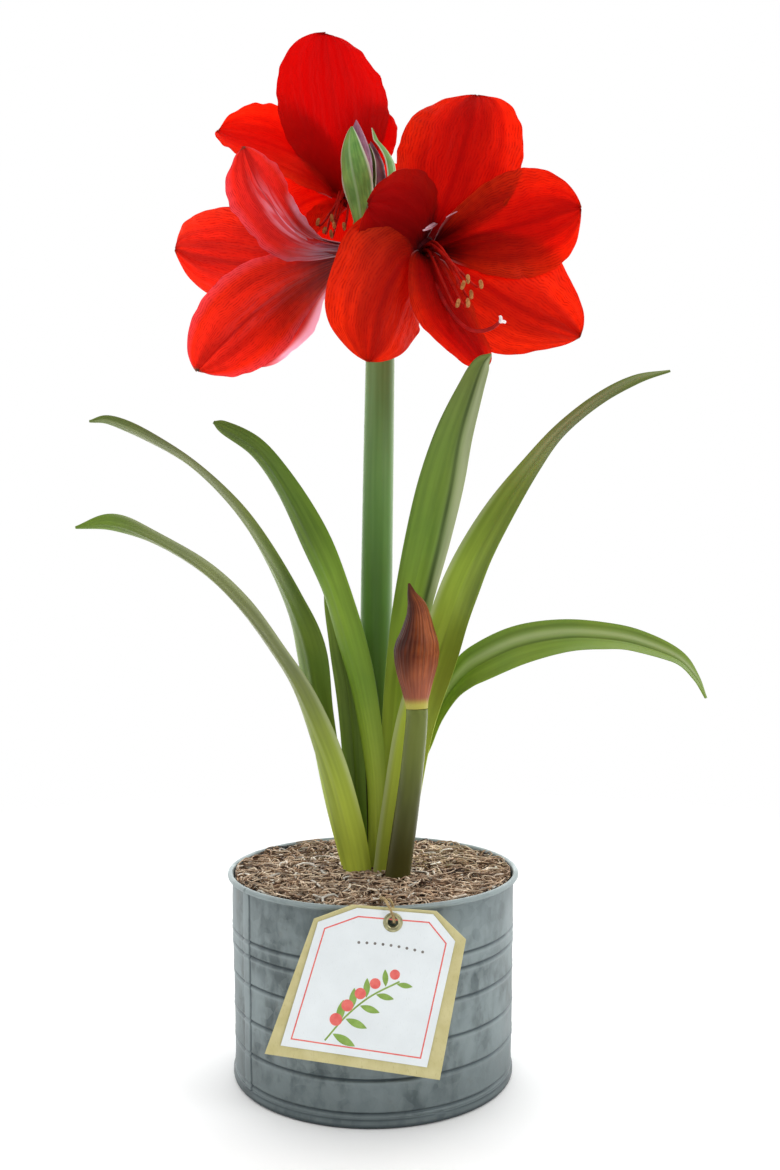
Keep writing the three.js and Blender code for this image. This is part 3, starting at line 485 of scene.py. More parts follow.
# Finishes of the plant.
def bladeMaterial(name, fresh, olive, foot, line, pale, shine=0.5, count=6):
    # leaf or scape skin from its masks: a grey-olive tint, on leaves partly a painted sheen and on scapes a
    # brown foot;
    # a foot colour, on leaves a yellow-green that is partly painted light; pale strips, painted highlights on
    # leaves and a paler upper part on scapes; and painted shade
    material, tree, body, _ = startMaterial(name, specular=0.28)
    vein, patch = veinLines(tree, count, 4.0, 0.02), blotches(tree, 0.035, 0.8)
    colour = blend(tree, mask(tree, "olive"), paint(fresh), paint(olive))
    colour = layer(tree, colour, foot, mask(tree, "foot"))
    colour = layer(tree, colour, foot, patch["Blotch"], 0.2)
    colour = layer(tree, colour, pale, mask(tree, "pale"))
    # vein streaks and painted shade darken the skin with the line colour
    shade = scaled(tree, vein["Streaks"], 0.2, times(tree, mask(tree, "fold"), 0.9))
    colour = layer(tree, colour, line, clamped(tree, shade), kind="MULTIPLY")
    dress(tree, body, colour, (patch["Grain"], 0.18, shine - 0.09))
    return material


def tepalMaterial(name, bright, dark, throat, edge, outer, rib, pink, tip, centre, through=0.72):
    # velvety tepal skin with its own colours on each face: "shade" lays painted shade on a tepal, "glow"
    # paints an orange glow of light through it, "ribbed" gives its outer face pale stripes and "blush" a pale
    # margin
    material, tree, body, out = startMaterial(name, specular=0.1, sheen=0.02)
    spot = surfaceSpot(tree)
    across, along, _ = separate(tree, spot)
    # broad lines that paint shade in the tepal's radial folds and down its middle
    fold = veinLines(tree, 4.0, 1.3, 0.14, spot)
    # the veins fan out from the midrib and run off at the margins
    spread = scaled(tree, along, -0.35, 1.0)
    fan = combine(tree, times(tree, reckon(tree, "SUBTRACT", across, 0.5), spread), along)
    vein, fine = veinLines(tree, 16.0, 3.0, 0.12, fan), veinLines(tree, 50.0, 6.0, 0.12, fan)
    broken = remap(tree, noise(tree, objectSpot(tree), 300.0), 0.38, 0.62, 0.2, 1.0)
    reach, patch = fromMiddle(tree, across), blotches(tree, 0.03, 1.1)
    # painted light: margins and glowing tepals turn orange as if lit through
    warm = scaled(tree, patch["Blotch"], 0.3, mask(tree, "glow"))
    glow = clamped(tree, scaled(tree, remap(tree, reach, 0.5, 1.0), 0.55, warm))
    # inner face: scarlet that turns dark along its veins and its midrib, with painted shade in its broad
    # folds, down its middle and towards the throat, which also has its own darker colour
    mine = blend(tree, glow, paint(bright), paint(edge))
    near = fade(tree, scaled(tree, reach, 0.12, along), 0.1, 0.62)
    midrib = times(tree, fade(tree, reach, 0.0, 0.13), remap(tree, along, 0.4, 1.0, 0.6, 0.1))
    broad = times(tree, fold["Streaks"], remap(tree, reach, 0.3, 1.0, 0.46, 0.2))
    middle = remap(tree, scaled(tree, fold["Lines"], -0.2, reach), 0.0, 0.7, centre, 0.0)
    thin = times(tree, times(tree, fine["Lines"], broken), remap(tree, along, 0.1, 0.9, 0.6, 0.42))
    deep = reckon(tree, "MAXIMUM", reckon(tree, "MAXIMUM", times(tree, near, 0.32), midrib),
                  mask(tree, "shade"))
    for streak in (broad, middle, times(tree, vein["Streaks"], 0.22), thin, deep):
        mine = layer(tree, mine, dark, streak)
    mine = layer(tree, mine, throat, fade(tree, scaled(tree, vein["Streaks"], -0.08, along), 0.02, 0.24))
    # outer face: the same painted glow and fold shade, dark veins and midrib, pale stripes from its foot,
    # pink edges and a green tip
    other = blend(tree, glow, paint(outer), paint(edge))
    other = layer(tree, other, pink, remap(tree, reach, 0.72, 1.0), 0.6)
    line = times(tree, fade(tree, reach, 0.0, 0.06), remap(tree, along, 0.25, 0.6, 0.0, 0.6))
    for streak in (broad, thin, line):
        other = layer(tree, other, dark, streak)
    stripe = times(tree, fade(tree, reach, 0.04, 0.42), fade(tree, along, 0.3, 0.85))
    stripe = times(tree, stripe, remap(tree, vein["Streaks"], 0.25, 0.7, 0.25, 1.0))
    foot = times(tree, fade(tree, along, 0.1, 0.4), remap(tree, vein["Streaks"], 0.2, 0.8, 0.45, 1.0))
    stripe = times(tree, reckon(tree, "MAXIMUM", stripe, foot), mask(tree, "ribbed"))
    blush = times(tree, remap(tree, reach, 0.45, 0.8, 0.0, 0.95), mask(tree, "blush"))
    bleached = reckon(tree, "MAXIMUM", stripe, blush)
    other = layer(tree, other, rib, bleached)
    mine = layer(tree, mine, rib, bleached, 0.6)
    brown = times(tree, fade(tree, along, 0.03, 0.26), remap(tree, vein["Lines"], 0.1, 0.9, 0.9, 0.35))
    other = layer(tree, other, throat, brown)
    other = layer(tree, other, tip, remap(tree, along, 0.965, 1.0))
    colour = blend(tree, mask(tree, "face"), other, mine)
    pale = times(tree, remap(tree, reach, 0.86, 1.0), fade(tree, along, 0.1, 0.26))
    colour = layer(tree, colour, "#F8DCE2", pale)
    relief = reckon(tree, "ADD", vein["Lines"], fine["Streaks"])
    dress(tree, body, colour, (patch["Grain"], 0.2, 0.4), relief, 0.4, 0.0005)
    letLightThrough(tree, body, out, colour, through)
    return material


def plainOrganic(name, low, high, size, roughness=0.5, line=None, count=14, height=0.2, through=0.0,
                 shine=0.4):
    # two close tones in blotches, with streaks along the piece where a line colour is given
    material, tree, body, out = startMaterial(name, specular=shine)
    patch = blotches(tree, size, 1.2)
    colour, relief = blend(tree, patch["Blotch"], paint(low), paint(high)), patch["Grain"]
    if line:
        vein = veinLines(tree, count, 4.0, 0.03)
        colour, relief = layer(tree, colour, line, vein["Streaks"], 0.6), vein["Lines"]
    dress(tree, body, colour, (patch["Grain"], 0.2, roughness - 0.1), relief, height, 0.0004)
    if through:
        letLightThrough(tree, body, out, colour, through)
    return material


# on leaves the foot colour is partly painted light, the grey-olive colour partly a painted sheen, the pale
# colour paints highlights and the line colour darkens streaks and painted shade
leafSkin = bladeMaterial("leafSkin", "#72982C", "#74784C", "#BAC642", "#4A6018", "#C4CCA0")
scapeSkin = bladeMaterial("scapeSkin", "#68904A", "#4E4C1C", "#52602C", "#62803C", "#98B080", 0.42, 14)
youngScapeSkin = bladeMaterial("youngScapeSkin", "#66722C", "#423E10", "#484A18", "#5A5830", "#868E4C", 0.42)
pedicelSkin = plainOrganic("pedicelSkin", "#6F8A3C", "#8FA650", 0.01, 0.45, "#5A6E30")
bractSkin = plainOrganic("bractSkin", "#A5766A", "#C2A387", 0.008, 0.7, "#7A4E48", through=0.3)
scarletTepal = tepalMaterial("scarletTepal", "#E21E10", "#AA0A10", "#7A1420", "#FA521C", "#E6241A", "#C8A0B0",
                             "#F03850", "#8A9070", 0.5)
sideTepal = tepalMaterial("sideTepal", "#F0362A", "#AC1018", "#7A4856", "#FC5A30", "#FA5048", "#FFE4F8",
                          "#FF9AB8", "#7F8870", 0.12)
# painted light: the scarlet skin with lighter dark and throat colours and a lighter middle, for the back
# bloom in shade
litBackTepal = tepalMaterial("litBackTepal", "#E82212", "#C80C0E", "#D01A12", "#FA5420", "#E6241A", "#C8A0B0",
                          "#F03850", "#8A9070", 0.42)
filamentSkin = plainOrganic("filamentSkin", "#A0120C", "#CC2014", 0.006, 0.5, shine=0.15)
antherDust = plainOrganic("antherDust", "#A8622C", "#D69456", 0.0012, 0.9, height=0.7)
styleSkin = plainOrganic("styleSkin", "#8A0A0C", "#B81412", 0.006, 0.5, shine=0.15)
stigmaSkin = plainOrganic("stigmaSkin", "#F0DCE0", "#FFF6F4", 0.002, 0.4)
throatSkin = plainOrganic("throatSkin", "#4A0812", "#7A121C", 0.004, 0.6, "#8A2A34", shine=0.1)
tubeSkin = plainOrganic("tubeSkin", "#6E7A4A", "#8A6A70", 0.006, 0.4, "#54403C")
lipSkin = plainOrganic("lipSkin", "#E4A4B4", "#F8DCE4", 0.002, 0.5, "#B06078", 3, shine=0.2)
heartSkin = plainOrganic("heartSkin", "#9C5C78", "#CC8AA2", 0.008, 0.45, "#6E4462", 7, through=0.2)
print("plant finishes made")


# Jute twine: tied through the tag's eyelet and tucked over the rim into the moss, in metres.
twine = {
    "diameter": 0.0015,
    "route": [
        (0.0042, -0.0670, 0.11347), (0.0044, -0.0680, 0.1150), (0.0050, -0.0730, 0.1192),
        (0.0060, -0.0800, 0.1214), (0.0072, -0.0865, 0.1226), (0.0088, -0.0920, 0.1216),
        (0.0106, -0.0940, 0.1184), (0.0118, -0.0936, 0.1146), (0.0121, -0.0918, 0.1125),
        (0.0121, -0.0902, 0.1119), (0.0121, -0.0885, 0.1124), (0.0121, -0.0878, 0.1140),
        (0.0120, -0.0877, 0.1164), (0.0116, -0.0875, 0.1188), (0.0108, -0.0860, 0.1209),
        (0.0096, -0.0810, 0.1210), (0.0086, -0.0760, 0.1190), (0.0077, -0.0710, 0.1160),
        (0.0076, -0.0704, 0.11248),
    ],
    "plies": 3,
    "plyRadius": 0.00043,
    "pitch": 0.0046,
    "swell": 0.08,
    "rings": 260,
    "fuzz": {"Density": 900000.0, "Curl Radius": 0.0006, "Strand Radius": 0.00004, "Tangle": 0.0005},
}


def makeTwineMaterial():
    material, tree, body, _ = startMaterial("juteTwine", specular=0.2, sheen=0.3)
    fibre, patch = veinLines(tree, 7.0, 60.0, 0.3), blotches(tree, 0.003, 1.2)
    colour = blend(tree, patch["Blotch"], paint("#7C6238"), paint("#B89A62"))
    colour = layer(tree, colour, "#D6C08C", fibre["Streaks"], 0.6)
    dress(tree, body, colour, (patch["Grain"], 0.15, 0.78), fibre["Streaks"], 0.6, 0.0002)
    return material


def layTwine():
    # three plies laid round the route
    line = spline(twine["route"], np.linspace(0, 1, twine["rings"]), True)
    gone = np.concatenate([[0], np.cumsum(np.linalg.norm(np.diff(line, axis=0), axis=1))])
    side, up = carriedFrame(line)
    away = twine["diameter"] / 2 - twine["plyRadius"]
    plies = []
    for k in range(twine["plies"]):
        turn = (2 * math.pi * (gone / twine["pitch"] + k / twine["plies"]))[:, None]
        ply = line + away * (np.cos(turn) * side + np.sin(turn) * up)
        swell = 1 + twine["swell"] * np.sin(gone * 2600 + 2.1 * k)
        plies.append(tubePart(ply, twine["plyRadius"] * swell, 8))
    return plies, line, float(gone[-1])


juteTwine = makeTwineMaterial()
twineParts, twineLine, twineLength = layTwine()
twinePiece = makePiece("tagTwine", twineParts, juteTwine, ["tag_twine"], scale=1.0)
print(f"twine laid, {twineLength * 1000:.1f} mm long")


# Curled strands on a surface: the topping's fibres and the twine's fuzz.
def makeStrandTree():
    tree = bpy.data.node_groups.new("strands", "GeometryNodeTree")
    values = {"Density": 100000.0, "Curl Radius": 0.004, "Curl Turn": 3.6, "Strand Radius": 0.0004,
              "Lift": 0.0, "Tilt": 0.5, "Tangle": 0.003, "Tangle Scale": 90.0, "Wall Radius": 1.0,
              "Ceiling": 10.0}
    tree.interface.new_socket("Surface", in_out="INPUT", socket_type="NodeSocketGeometry")
    for label, value in values.items():
        tree.interface.new_socket(label, in_out="INPUT", socket_type="NodeSocketFloat").default_value = value
    tree.interface.new_socket("Seed", in_out="INPUT", socket_type="NodeSocketInt").default_value = 4
    tree.interface.new_socket("Finish", in_out="INPUT", socket_type="NodeSocketMaterial")
    tree.interface.new_socket("Strands", in_out="OUTPUT", socket_type="NodeSocketGeometry")
    given, made = tree.nodes.new("NodeGroupInput").outputs, tree.nodes.new("NodeGroupOutput").inputs

    def grow(kind, inputs, **settings):
        return put(tree, "GeometryNode" + kind, inputs, **settings).outputs[0]

    def chance(low, high, seed, vector=False):
        first = 0 if vector else 2
        node = put(tree, "FunctionNodeRandomValue", {first: low, first + 1: high, "Seed": seed},
                   data_type="FLOAT_VECTOR" if vector else "FLOAT")
        return node.outputs[0 if vector else 1]

    spots = grow("DistributePointsOnFaces", {
        "Mesh": given["Surface"], "Density": given["Density"], "Seed": given["Seed"]})
    arc = grow("CurveArc", {"Resolution": 10, "Radius": given["Curl Radius"],
                            "Sweep Angle": given["Curl Turn"]})
    back = times(tree, given["Tilt"], -1.0)
    leans = (combine(tree, back, back, 0.0), combine(tree, given["Tilt"], given["Tilt"], 6.2832))
    turn = chance(*leans, 11, True)
    curls = grow("InstanceOnPoints", {
        "Points": spots, "Instance": arc, "Rotation": turn, "Scale": chance(0.45, 1.5, 12)})
    marked = grow("StoreNamedAttribute", {"Geometry": curls, "Name": "strand", "Value": chance(0.0, 1.0, 13)},
                  data_type="FLOAT", domain="INSTANCE")
    whole = grow("RealizeInstances", {"Geometry": marked})
    place = grow("InputPosition", {})
    strand = grow("InputNamedAttribute", {"Name": "strand"}, data_type="FLOAT")
    drift = put(tree, "ShaderNodeTexNoise", {
        "Vector": place, "W": times(tree, strand, 60.0), "Scale": given["Tangle Scale"], "Detail": 1.0},
        noise_dimensions="4D").outputs["Color"]
    centred = vectorMath(tree, "SUBTRACT", drift, (0.5, 0.5, 0.5))[0]
    drift = put(tree, "ShaderNodeVectorMath", {0: centred, "Scale": given["Tangle"]},
                operation="SCALE").outputs[0]
    drift = vectorMath(tree, "ADD", drift, combine(tree, 0.0, 0.0, times(tree, strand, given["Lift"])))[0]
    loose = grow("SetPosition", {"Geometry": whole, "Offset": drift})
    # strands stay inside the pot's wall and under the ceiling
    x, y, z = separate(tree, place)
    far = vectorMath(tree, "LENGTH", combine(tree, x, y))["Value"]
    hold = reckon(tree, "MINIMUM", reckon(tree, "DIVIDE", given["Wall Radius"], far), 1.0)
    low = reckon(tree, "MINIMUM", z, given["Ceiling"])
    held = combine(tree, times(tree, x, hold), times(tree, y, hold), low)
    kept = grow("SetPosition", {"Geometry": loose, "Position": held})
    ring = grow("CurvePrimitiveCircle", {"Resolution": 3, "Radius": given["Strand Radius"]})
    solid = grow("CurveToMesh", {"Curve": kept, "Profile Curve": ring, "Fill Caps": True})
    real = grow("RealizeInstances", {"Geometry": grow("SetShadeSmooth", {"Geometry": solid})})
    plug(tree, made[0], grow("SetMaterial", {"Geometry": real, "Material": given["Finish"]}))
    return tree


def growStrands(name, mesh, finish, values):
    # runs the strand tree over a mesh and keeps the result as a plain piece
    carrier = addObject(name + "Carrier", mesh)
    strands = carrier.modifiers.new("strands", "NODES")
    strands.node_group = strandTree
    values = {**values, "Finish": finish}
    for socket in strandTree.interface.items_tree:
        if socket.in_out == "INPUT" and socket.name in values:
            strands[socket.identifier] = values[socket.name]
    return addPiece(name, plainMesh(carrier), finish, ())


strandTree = makeStrandTree()
fuzzPiece = growStrands("twineFuzz", twinePiece.data.copy(), juteTwine, {**twine["fuzz"], "Seed": 3})
print("twine fuzz grown")


# Galvanised pot: a rolled rim, pressed grooves, a lapped seam and a folded foot.
pot = {
    "height": 118.5,
    "bodyRadiusTop": 83.7,
    "bodyRadiusFoot": 81.8,
    "wall": 1.0,
    "rimBead": 1.6,
    "rimBeadRadius": 84.9,
    "footRadius": 82.8,
    "footHeight": 5,
    "footFold": [(-2.4, 0.0), (-0.9, 0.0), (-0.3, 0.3), (0.0, 1.1), (0.05, 2.4), (0.0, 3.7), (-0.4, 4.5)],
    "grooves": [7.5, 25.5, 44, 64, 80, 88],
    "grooveDepth": 0.8,
    "grooveWidth": 0.6,
    "grooveLips": (0.3, 0.22),  # how far the wall bulges below and above a groove
    "lipStep": 1.5,
    "lipWidth": 0.8,
    "seamAngle": 214.6,
    "lapWidth": 6.5,
    "seamRadius": 84,
    "dents": 0.22,
}


def bodyRadiusAt(z):
    share = (z - pot["footHeight"]) / (pot["height"] - pot["footHeight"])
    return pot["bodyRadiusFoot"] + (pot["bodyRadiusTop"] - pot["bodyRadiusFoot"]) * share


def potProfile():
    # radius, height and the masks along the wall's section, from the foot up and down the inside
    rows = [(pot["footRadius"] + out, z, "foot") for out, z in pot["footFold"]]
    below, above = pot["grooveLips"]
    step, wide = pot["lipStep"], pot["lipWidth"]
    heights = set(np.round(np.arange(5, 115, 1.6), 2))
    for groove in pot["grooves"]:
        heights |= set(np.round(groove + np.arange(-2.8, 2.9, 0.35), 2))
    for z in sorted(h for h in heights if 5 <= h <= 114.6):
        radius = bodyRadiusAt(z)
        for groove in pot["grooves"]:
            radius -= pot["grooveDepth"] * bump(z, groove, pot["grooveWidth"])
            radius += below * bump(z, groove - step, wide) + above * bump(z, groove + step, wide)
        rows.append((radius, z, "out"))
    centre = pot["height"] - pot["rimBead"]
    for angle in np.radians(np.arange(-145, 181, 18)):
        rows.append((pot["rimBeadRadius"] + pot["rimBead"] * math.cos(angle),
                     centre + pot["rimBead"] * math.sin(angle), "bead"))
    for z in np.linspace(centre - 1.5, 6.2, 30):
        radius = bodyRadiusAt(z) - pot["wall"]
        for groove in pot["grooves"]:
            radius -= 0.15 * bump(z, groove, 0.9)
        rows.append((radius, z, "in"))
    rows.append((pot["footRadius"] + pot["footFold"][0][0], 5.0, "in"))
    return rows


def makePotWall():
    rows = potProfile()
    fine = np.radians(pot["seamAngle"] + np.arange(-7, 3.01, 0.22))
    coarse = np.radians(np.arange(0, 360, 1.9))
    coarse = coarse[(coarse < fine[0] - 0.02) | (coarse > fine[-1] + 0.02)]
    angle = np.sort(np.concatenate([coarse, fine]))
    radius = np.array([r for r, _, _ in rows])[:, None]
    height = np.array([z for _, z, _ in rows])[:, None]
    kind = np.array([k for _, _, k in rows])
    outside = np.isin(kind, ["out"])[:, None] * 1.0
    # millimetres round from the seam
    arc = (angle[None, :] - math.radians(pot["seamAngle"])) * pot["seamRadius"]
    lap = ramp(arc, -pot["lapWidth"] - 1.5, -pot["lapWidth"]) * ramp(-arc, 0.0, 0.5)
    crack = bump(arc, 0.45, 0.45)
    dents = pot["dents"] * (np.sin(3 * angle + 1.2) * np.sin(height * 0.045 + 0.4)
                            + 0.6 * np.sin(7 * angle + height * 0.03)
                            + 0.4 * np.sin(13 * angle - height * 0.11))
    outer = np.isin(kind, ["out", "in"])[:, None] * ramp(height, 4, 16) * ramp(-height, -115, -104)
    radius = radius + outer * dents + outside * (0.42 * lap - 0.35 * crack)
    radius = radius - (kind == "bead")[:, None] * 0.55 * bump(arc, 0.0, 0.5)
    shape = radius.shape
    grid = np.stack([radius * np.cos(angle), radius * np.sin(angle), np.broadcast_to(height, shape)], -1)
    # painted shade in each groove, and a painted highlight on the bulge below it
    groove = sum(bump(height, g, 0.75) for g in pot["grooves"]) * outside
    lip = sum(bump(height, g - 2.0, 0.9) for g in pot["grooves"]) * outside
    # painted shade inside the wall, on the foot (most at its crease and bottom edge) and under the rim; a
    # painted highlight on the rim bead and a painted reflection along the lapped seam strip; the seam's dark
    # line is its own
    masks = {"groove": groove, "lip": lip, "inside": (kind == "in")[:, None] * 1.0,
             "bead": (kind == "bead")[:, None] * 1.0,
             "foot": (kind == "foot")[:, None] * (0.25 + ramp(-height, -2.2, -1.0) + bump(height, 4.6, 0.6)),
             "seam": crack * np.isin(kind, ["out", "bead"])[:, None], "lap": lap * outside,
             "under": ramp(height, 98, 114) * outside}
    faces, uv = gridFaces(*shape, wrapRows=True, wrapColumns=True)
    flat = {name: np.broadcast_to(values, shape).ravel() for name, values in masks.items()}
    return part(grid.reshape(-1, 3), faces, uv, flat)


def makeGalvanised():
    material, tree, body, _ = startMaterial("galvanisedSteel")
    spot = objectSpot(tree)
    tall = put(tree, "ShaderNodeMapping", {"Vector": spot, "Scale": (1.0, 1.0, 0.55)}).outputs[0]
    wide, close = blotches(tree, 0.024, 1.8, tall), blotches(tree, 0.0075, 2.0, tall)
    wobble = put(tree, "ShaderNodeTexNoise", {"Vector": spot, "Scale": 90.0, "Detail": 2.0}).outputs["Color"]
    shifted = vectorMath(tree, "MULTIPLY_ADD", wobble, (0.01, 0.01, 0.01), spot)[0]
    spangle = put(tree, "ShaderNodeTexVoronoi", {"Vector": shifted, "Scale": 190.0}, feature="F1")
    flake = separate(tree, spangle.outputs["Color"])[0]
    colour = blend(tree, wide["Blotch"], paint("#424E50"), paint("#748082"))
    # painted shade under the rim, in the grooves, inside and on the foot; painted highlights on the lips and
    # the rim bead and a painted reflection on the lapped seam strip; the blotches, spangle flakes, brownish
    # stains and the seam's dark line are the zinc's own, and the last layer darkens it towards the bottom
    for code, share, amount in (
            ("#8A9697", close["Blotch"], 0.62), ("#4A5558", mask(tree, "under"), 0.35),
            ("#A4B0B0", flake, 0.2),
            ("#6E695E", remap(tree, noise(tree, spot, 24.0, 6.0, 0.7), 0.6, 0.76, 0.0, 0.5), 1.0),
            ("#98A4A6", mask(tree, "lip"), 0.3), ("#38444A", mask(tree, "groove"), 0.75),
            ("#98A4A6", mask(tree, "lap"), 0.35), ("#3C484E", mask(tree, "seam"), 0.85),
            ("#9AA6A6", mask(tree, "bead"), 0.5), ("#333E44", mask(tree, "inside"), 0.85),
            ("#333D42", mask(tree, "foot"), 0.75),
            ("#3E484A", remap(tree, separate(tree, spot)[2], 0.004, 0.045, 0.4, 0.0), 1.0)):
        colour = layer(tree, colour, code, share, amount)
    plug(tree, body.inputs["Metallic"], scaled(tree, wide["Blotch"], 0.2, 0.3))
    rough = scaled(tree, close["Blotch"], 0.16, 0.4)
    dress(tree, body, colour, (flake, 0.08, rough), close["Grain"], 0.12, 0.0004)
    return material


galvanised = makeGalvanised()
makePiece("potWall", makePotWall(), galvanised, ["pot_wall"], crease=50)
print("pot made")


# Topping of curled wood fibres round the plant, over the potting mix.
topping = {
    "mossEdge": 111.5,
    "mossCentre": 114.6,
    "relief": 1.1,
    "crumb": 0.9,
    "bedDrop": 1.2,
    "bottom": 102.3,
    "reach": 82.58,
    "outer": 82.2,
    "starts": {"curls": 80.5, "lights": 79.5, "shreds": 80.0},
    "wall": {"Wall Radius": 0.0815},  # this line and the next ones are in metres
    "curls": {"Density": 130000.0, "Curl Radius": 0.0048, "Curl Turn": 5.4, "Strand Radius": 0.00046,
              "Lift": 0.0040, "Tilt": 0.9, "Tangle": 0.0040, "Tangle Scale": 110.0, "Ceiling": 0.1195,
              "Seed": 5},
    "lights": {"Density": 42000.0, "Curl Radius": 0.0056, "Curl Turn": 4.6, "Strand Radius": 0.0008,
               "Lift": 0.0034, "Tilt": 0.5, "Tangle": 0.0060, "Tangle Scale": 110.0, "Ceiling": 0.1196,
               "Seed": 6},
    "shreds": {"Density": 100000.0, "Curl Radius": 0.0105, "Curl Turn": 2.6, "Strand Radius": 0.00042,
               "Lift": 0.0040, "Tilt": 0.4, "Tangle": 0.0060, "Tangle Scale": 100.0, "Ceiling": 0.1190,
               "Seed": 8},
}


def mossHeight(x, y):
    radius = np.hypot(x, y) / topping["reach"]
    mound = topping["mossCentre"] + (topping["mossEdge"] - topping["mossCentre"]) * ease(radius)
    waves = np.sin(x * 0.31 + 1.3) * np.cos(y * 0.27 - 0.4) + 0.6 * np.sin(x * 0.17 - y * 0.41)
    return mound + topping["relief"] * waves


def makeMossBed():
    radii = np.concatenate([[topping["outer"]], np.linspace(topping["outer"], 1.5, 46)])
    bed = turnedPart([[r, 0] for r in radii], 150)
    x, y = bed["points"][:, 0], bed["points"][:, 1]
    crumb = np.sin(x * 1.9 + 2 * np.sin(y * 0.7)) * np.sin(y * 2.1 + 1.7 * np.sin(x * 0.8))
    crumb = topping["crumb"] * crumb * (np.hypot(x, y) < 81)
    bed["points"][:, 2] = mossHeight(x, y) - topping["bedDrop"] + crumb
    bed["points"][:150, 2] = topping["bottom"]
    bed["points"][-2, 2] = topping["bottom"]
    return bed


def makeFibreMaterial(name, tones, spread):
    material, tree, body, _ = startMaterial(name, specular=0.25)
    colours = put(tree, "ShaderNodeValToRGB", {0: mask(tree, "strand")})
    stops = colours.color_ramp.elements
    stops[0].color, stops[1].color = paint(tones[0]), paint(tones[-1])
    for i, tone in enumerate(tones[1:-1]):
        stops.new((i + 1) / (len(tones) - 1)).color = paint(tone)
    patch = blotches(tree, spread, 1.4)
    colour = layer(tree, colours.outputs[0], "#4A3626", patch["Blotch"], 0.68, "MULTIPLY")
    dress(tree, body, colour, (patch["Grain"], 0.2, 0.6), patch["Grain"], 0.3, 0.0002)
    return material


def discMesh(reach):
    # the top of the topping, as far out as strands may start
    disc = turnedPart([[r, 0] for r in np.linspace(reach, 1.0, 30)], 60)
    disc["points"][:, 2] = mossHeight(disc["points"][:, 0], disc["points"][:, 1])
    mesh = bpy.data.meshes.new("toppingTop")
    kept = [f for f in disc["faces"] if len(f) == 4]
    mesh.from_pydata((disc["points"] * mm).tolist(), [], kept)
    return mesh


# the bed under the strands is near black, partly its own dark colour and partly painted shade in the gaps
mossBed = plainOrganic("mossBed", "#140D08", "#33251A", 0.003, 0.9, height=0.8)
mossFibre = makeFibreMaterial("mossFibre", ["#2A1C12", "#644A38", "#A08066", "#D4B494", "#FCE8CC"], 0.007)
paleFibre = makeFibreMaterial("paleFibre", ["#C09A78", "#F8DCBC", "#FFFCF0"], 0.02)
makePiece("mossBed", makeMossBed(), mossBed, ["moss_topping"])
for kind, fibre in (("curls", mossFibre), ("lights", paleFibre), ("shreds", mossFibre)):
    growStrands("moss" + kind.title(), discMesh(topping["starts"][kind]), fibre,
                {**topping["wall"], **topping[kind]})
print("topping laid")
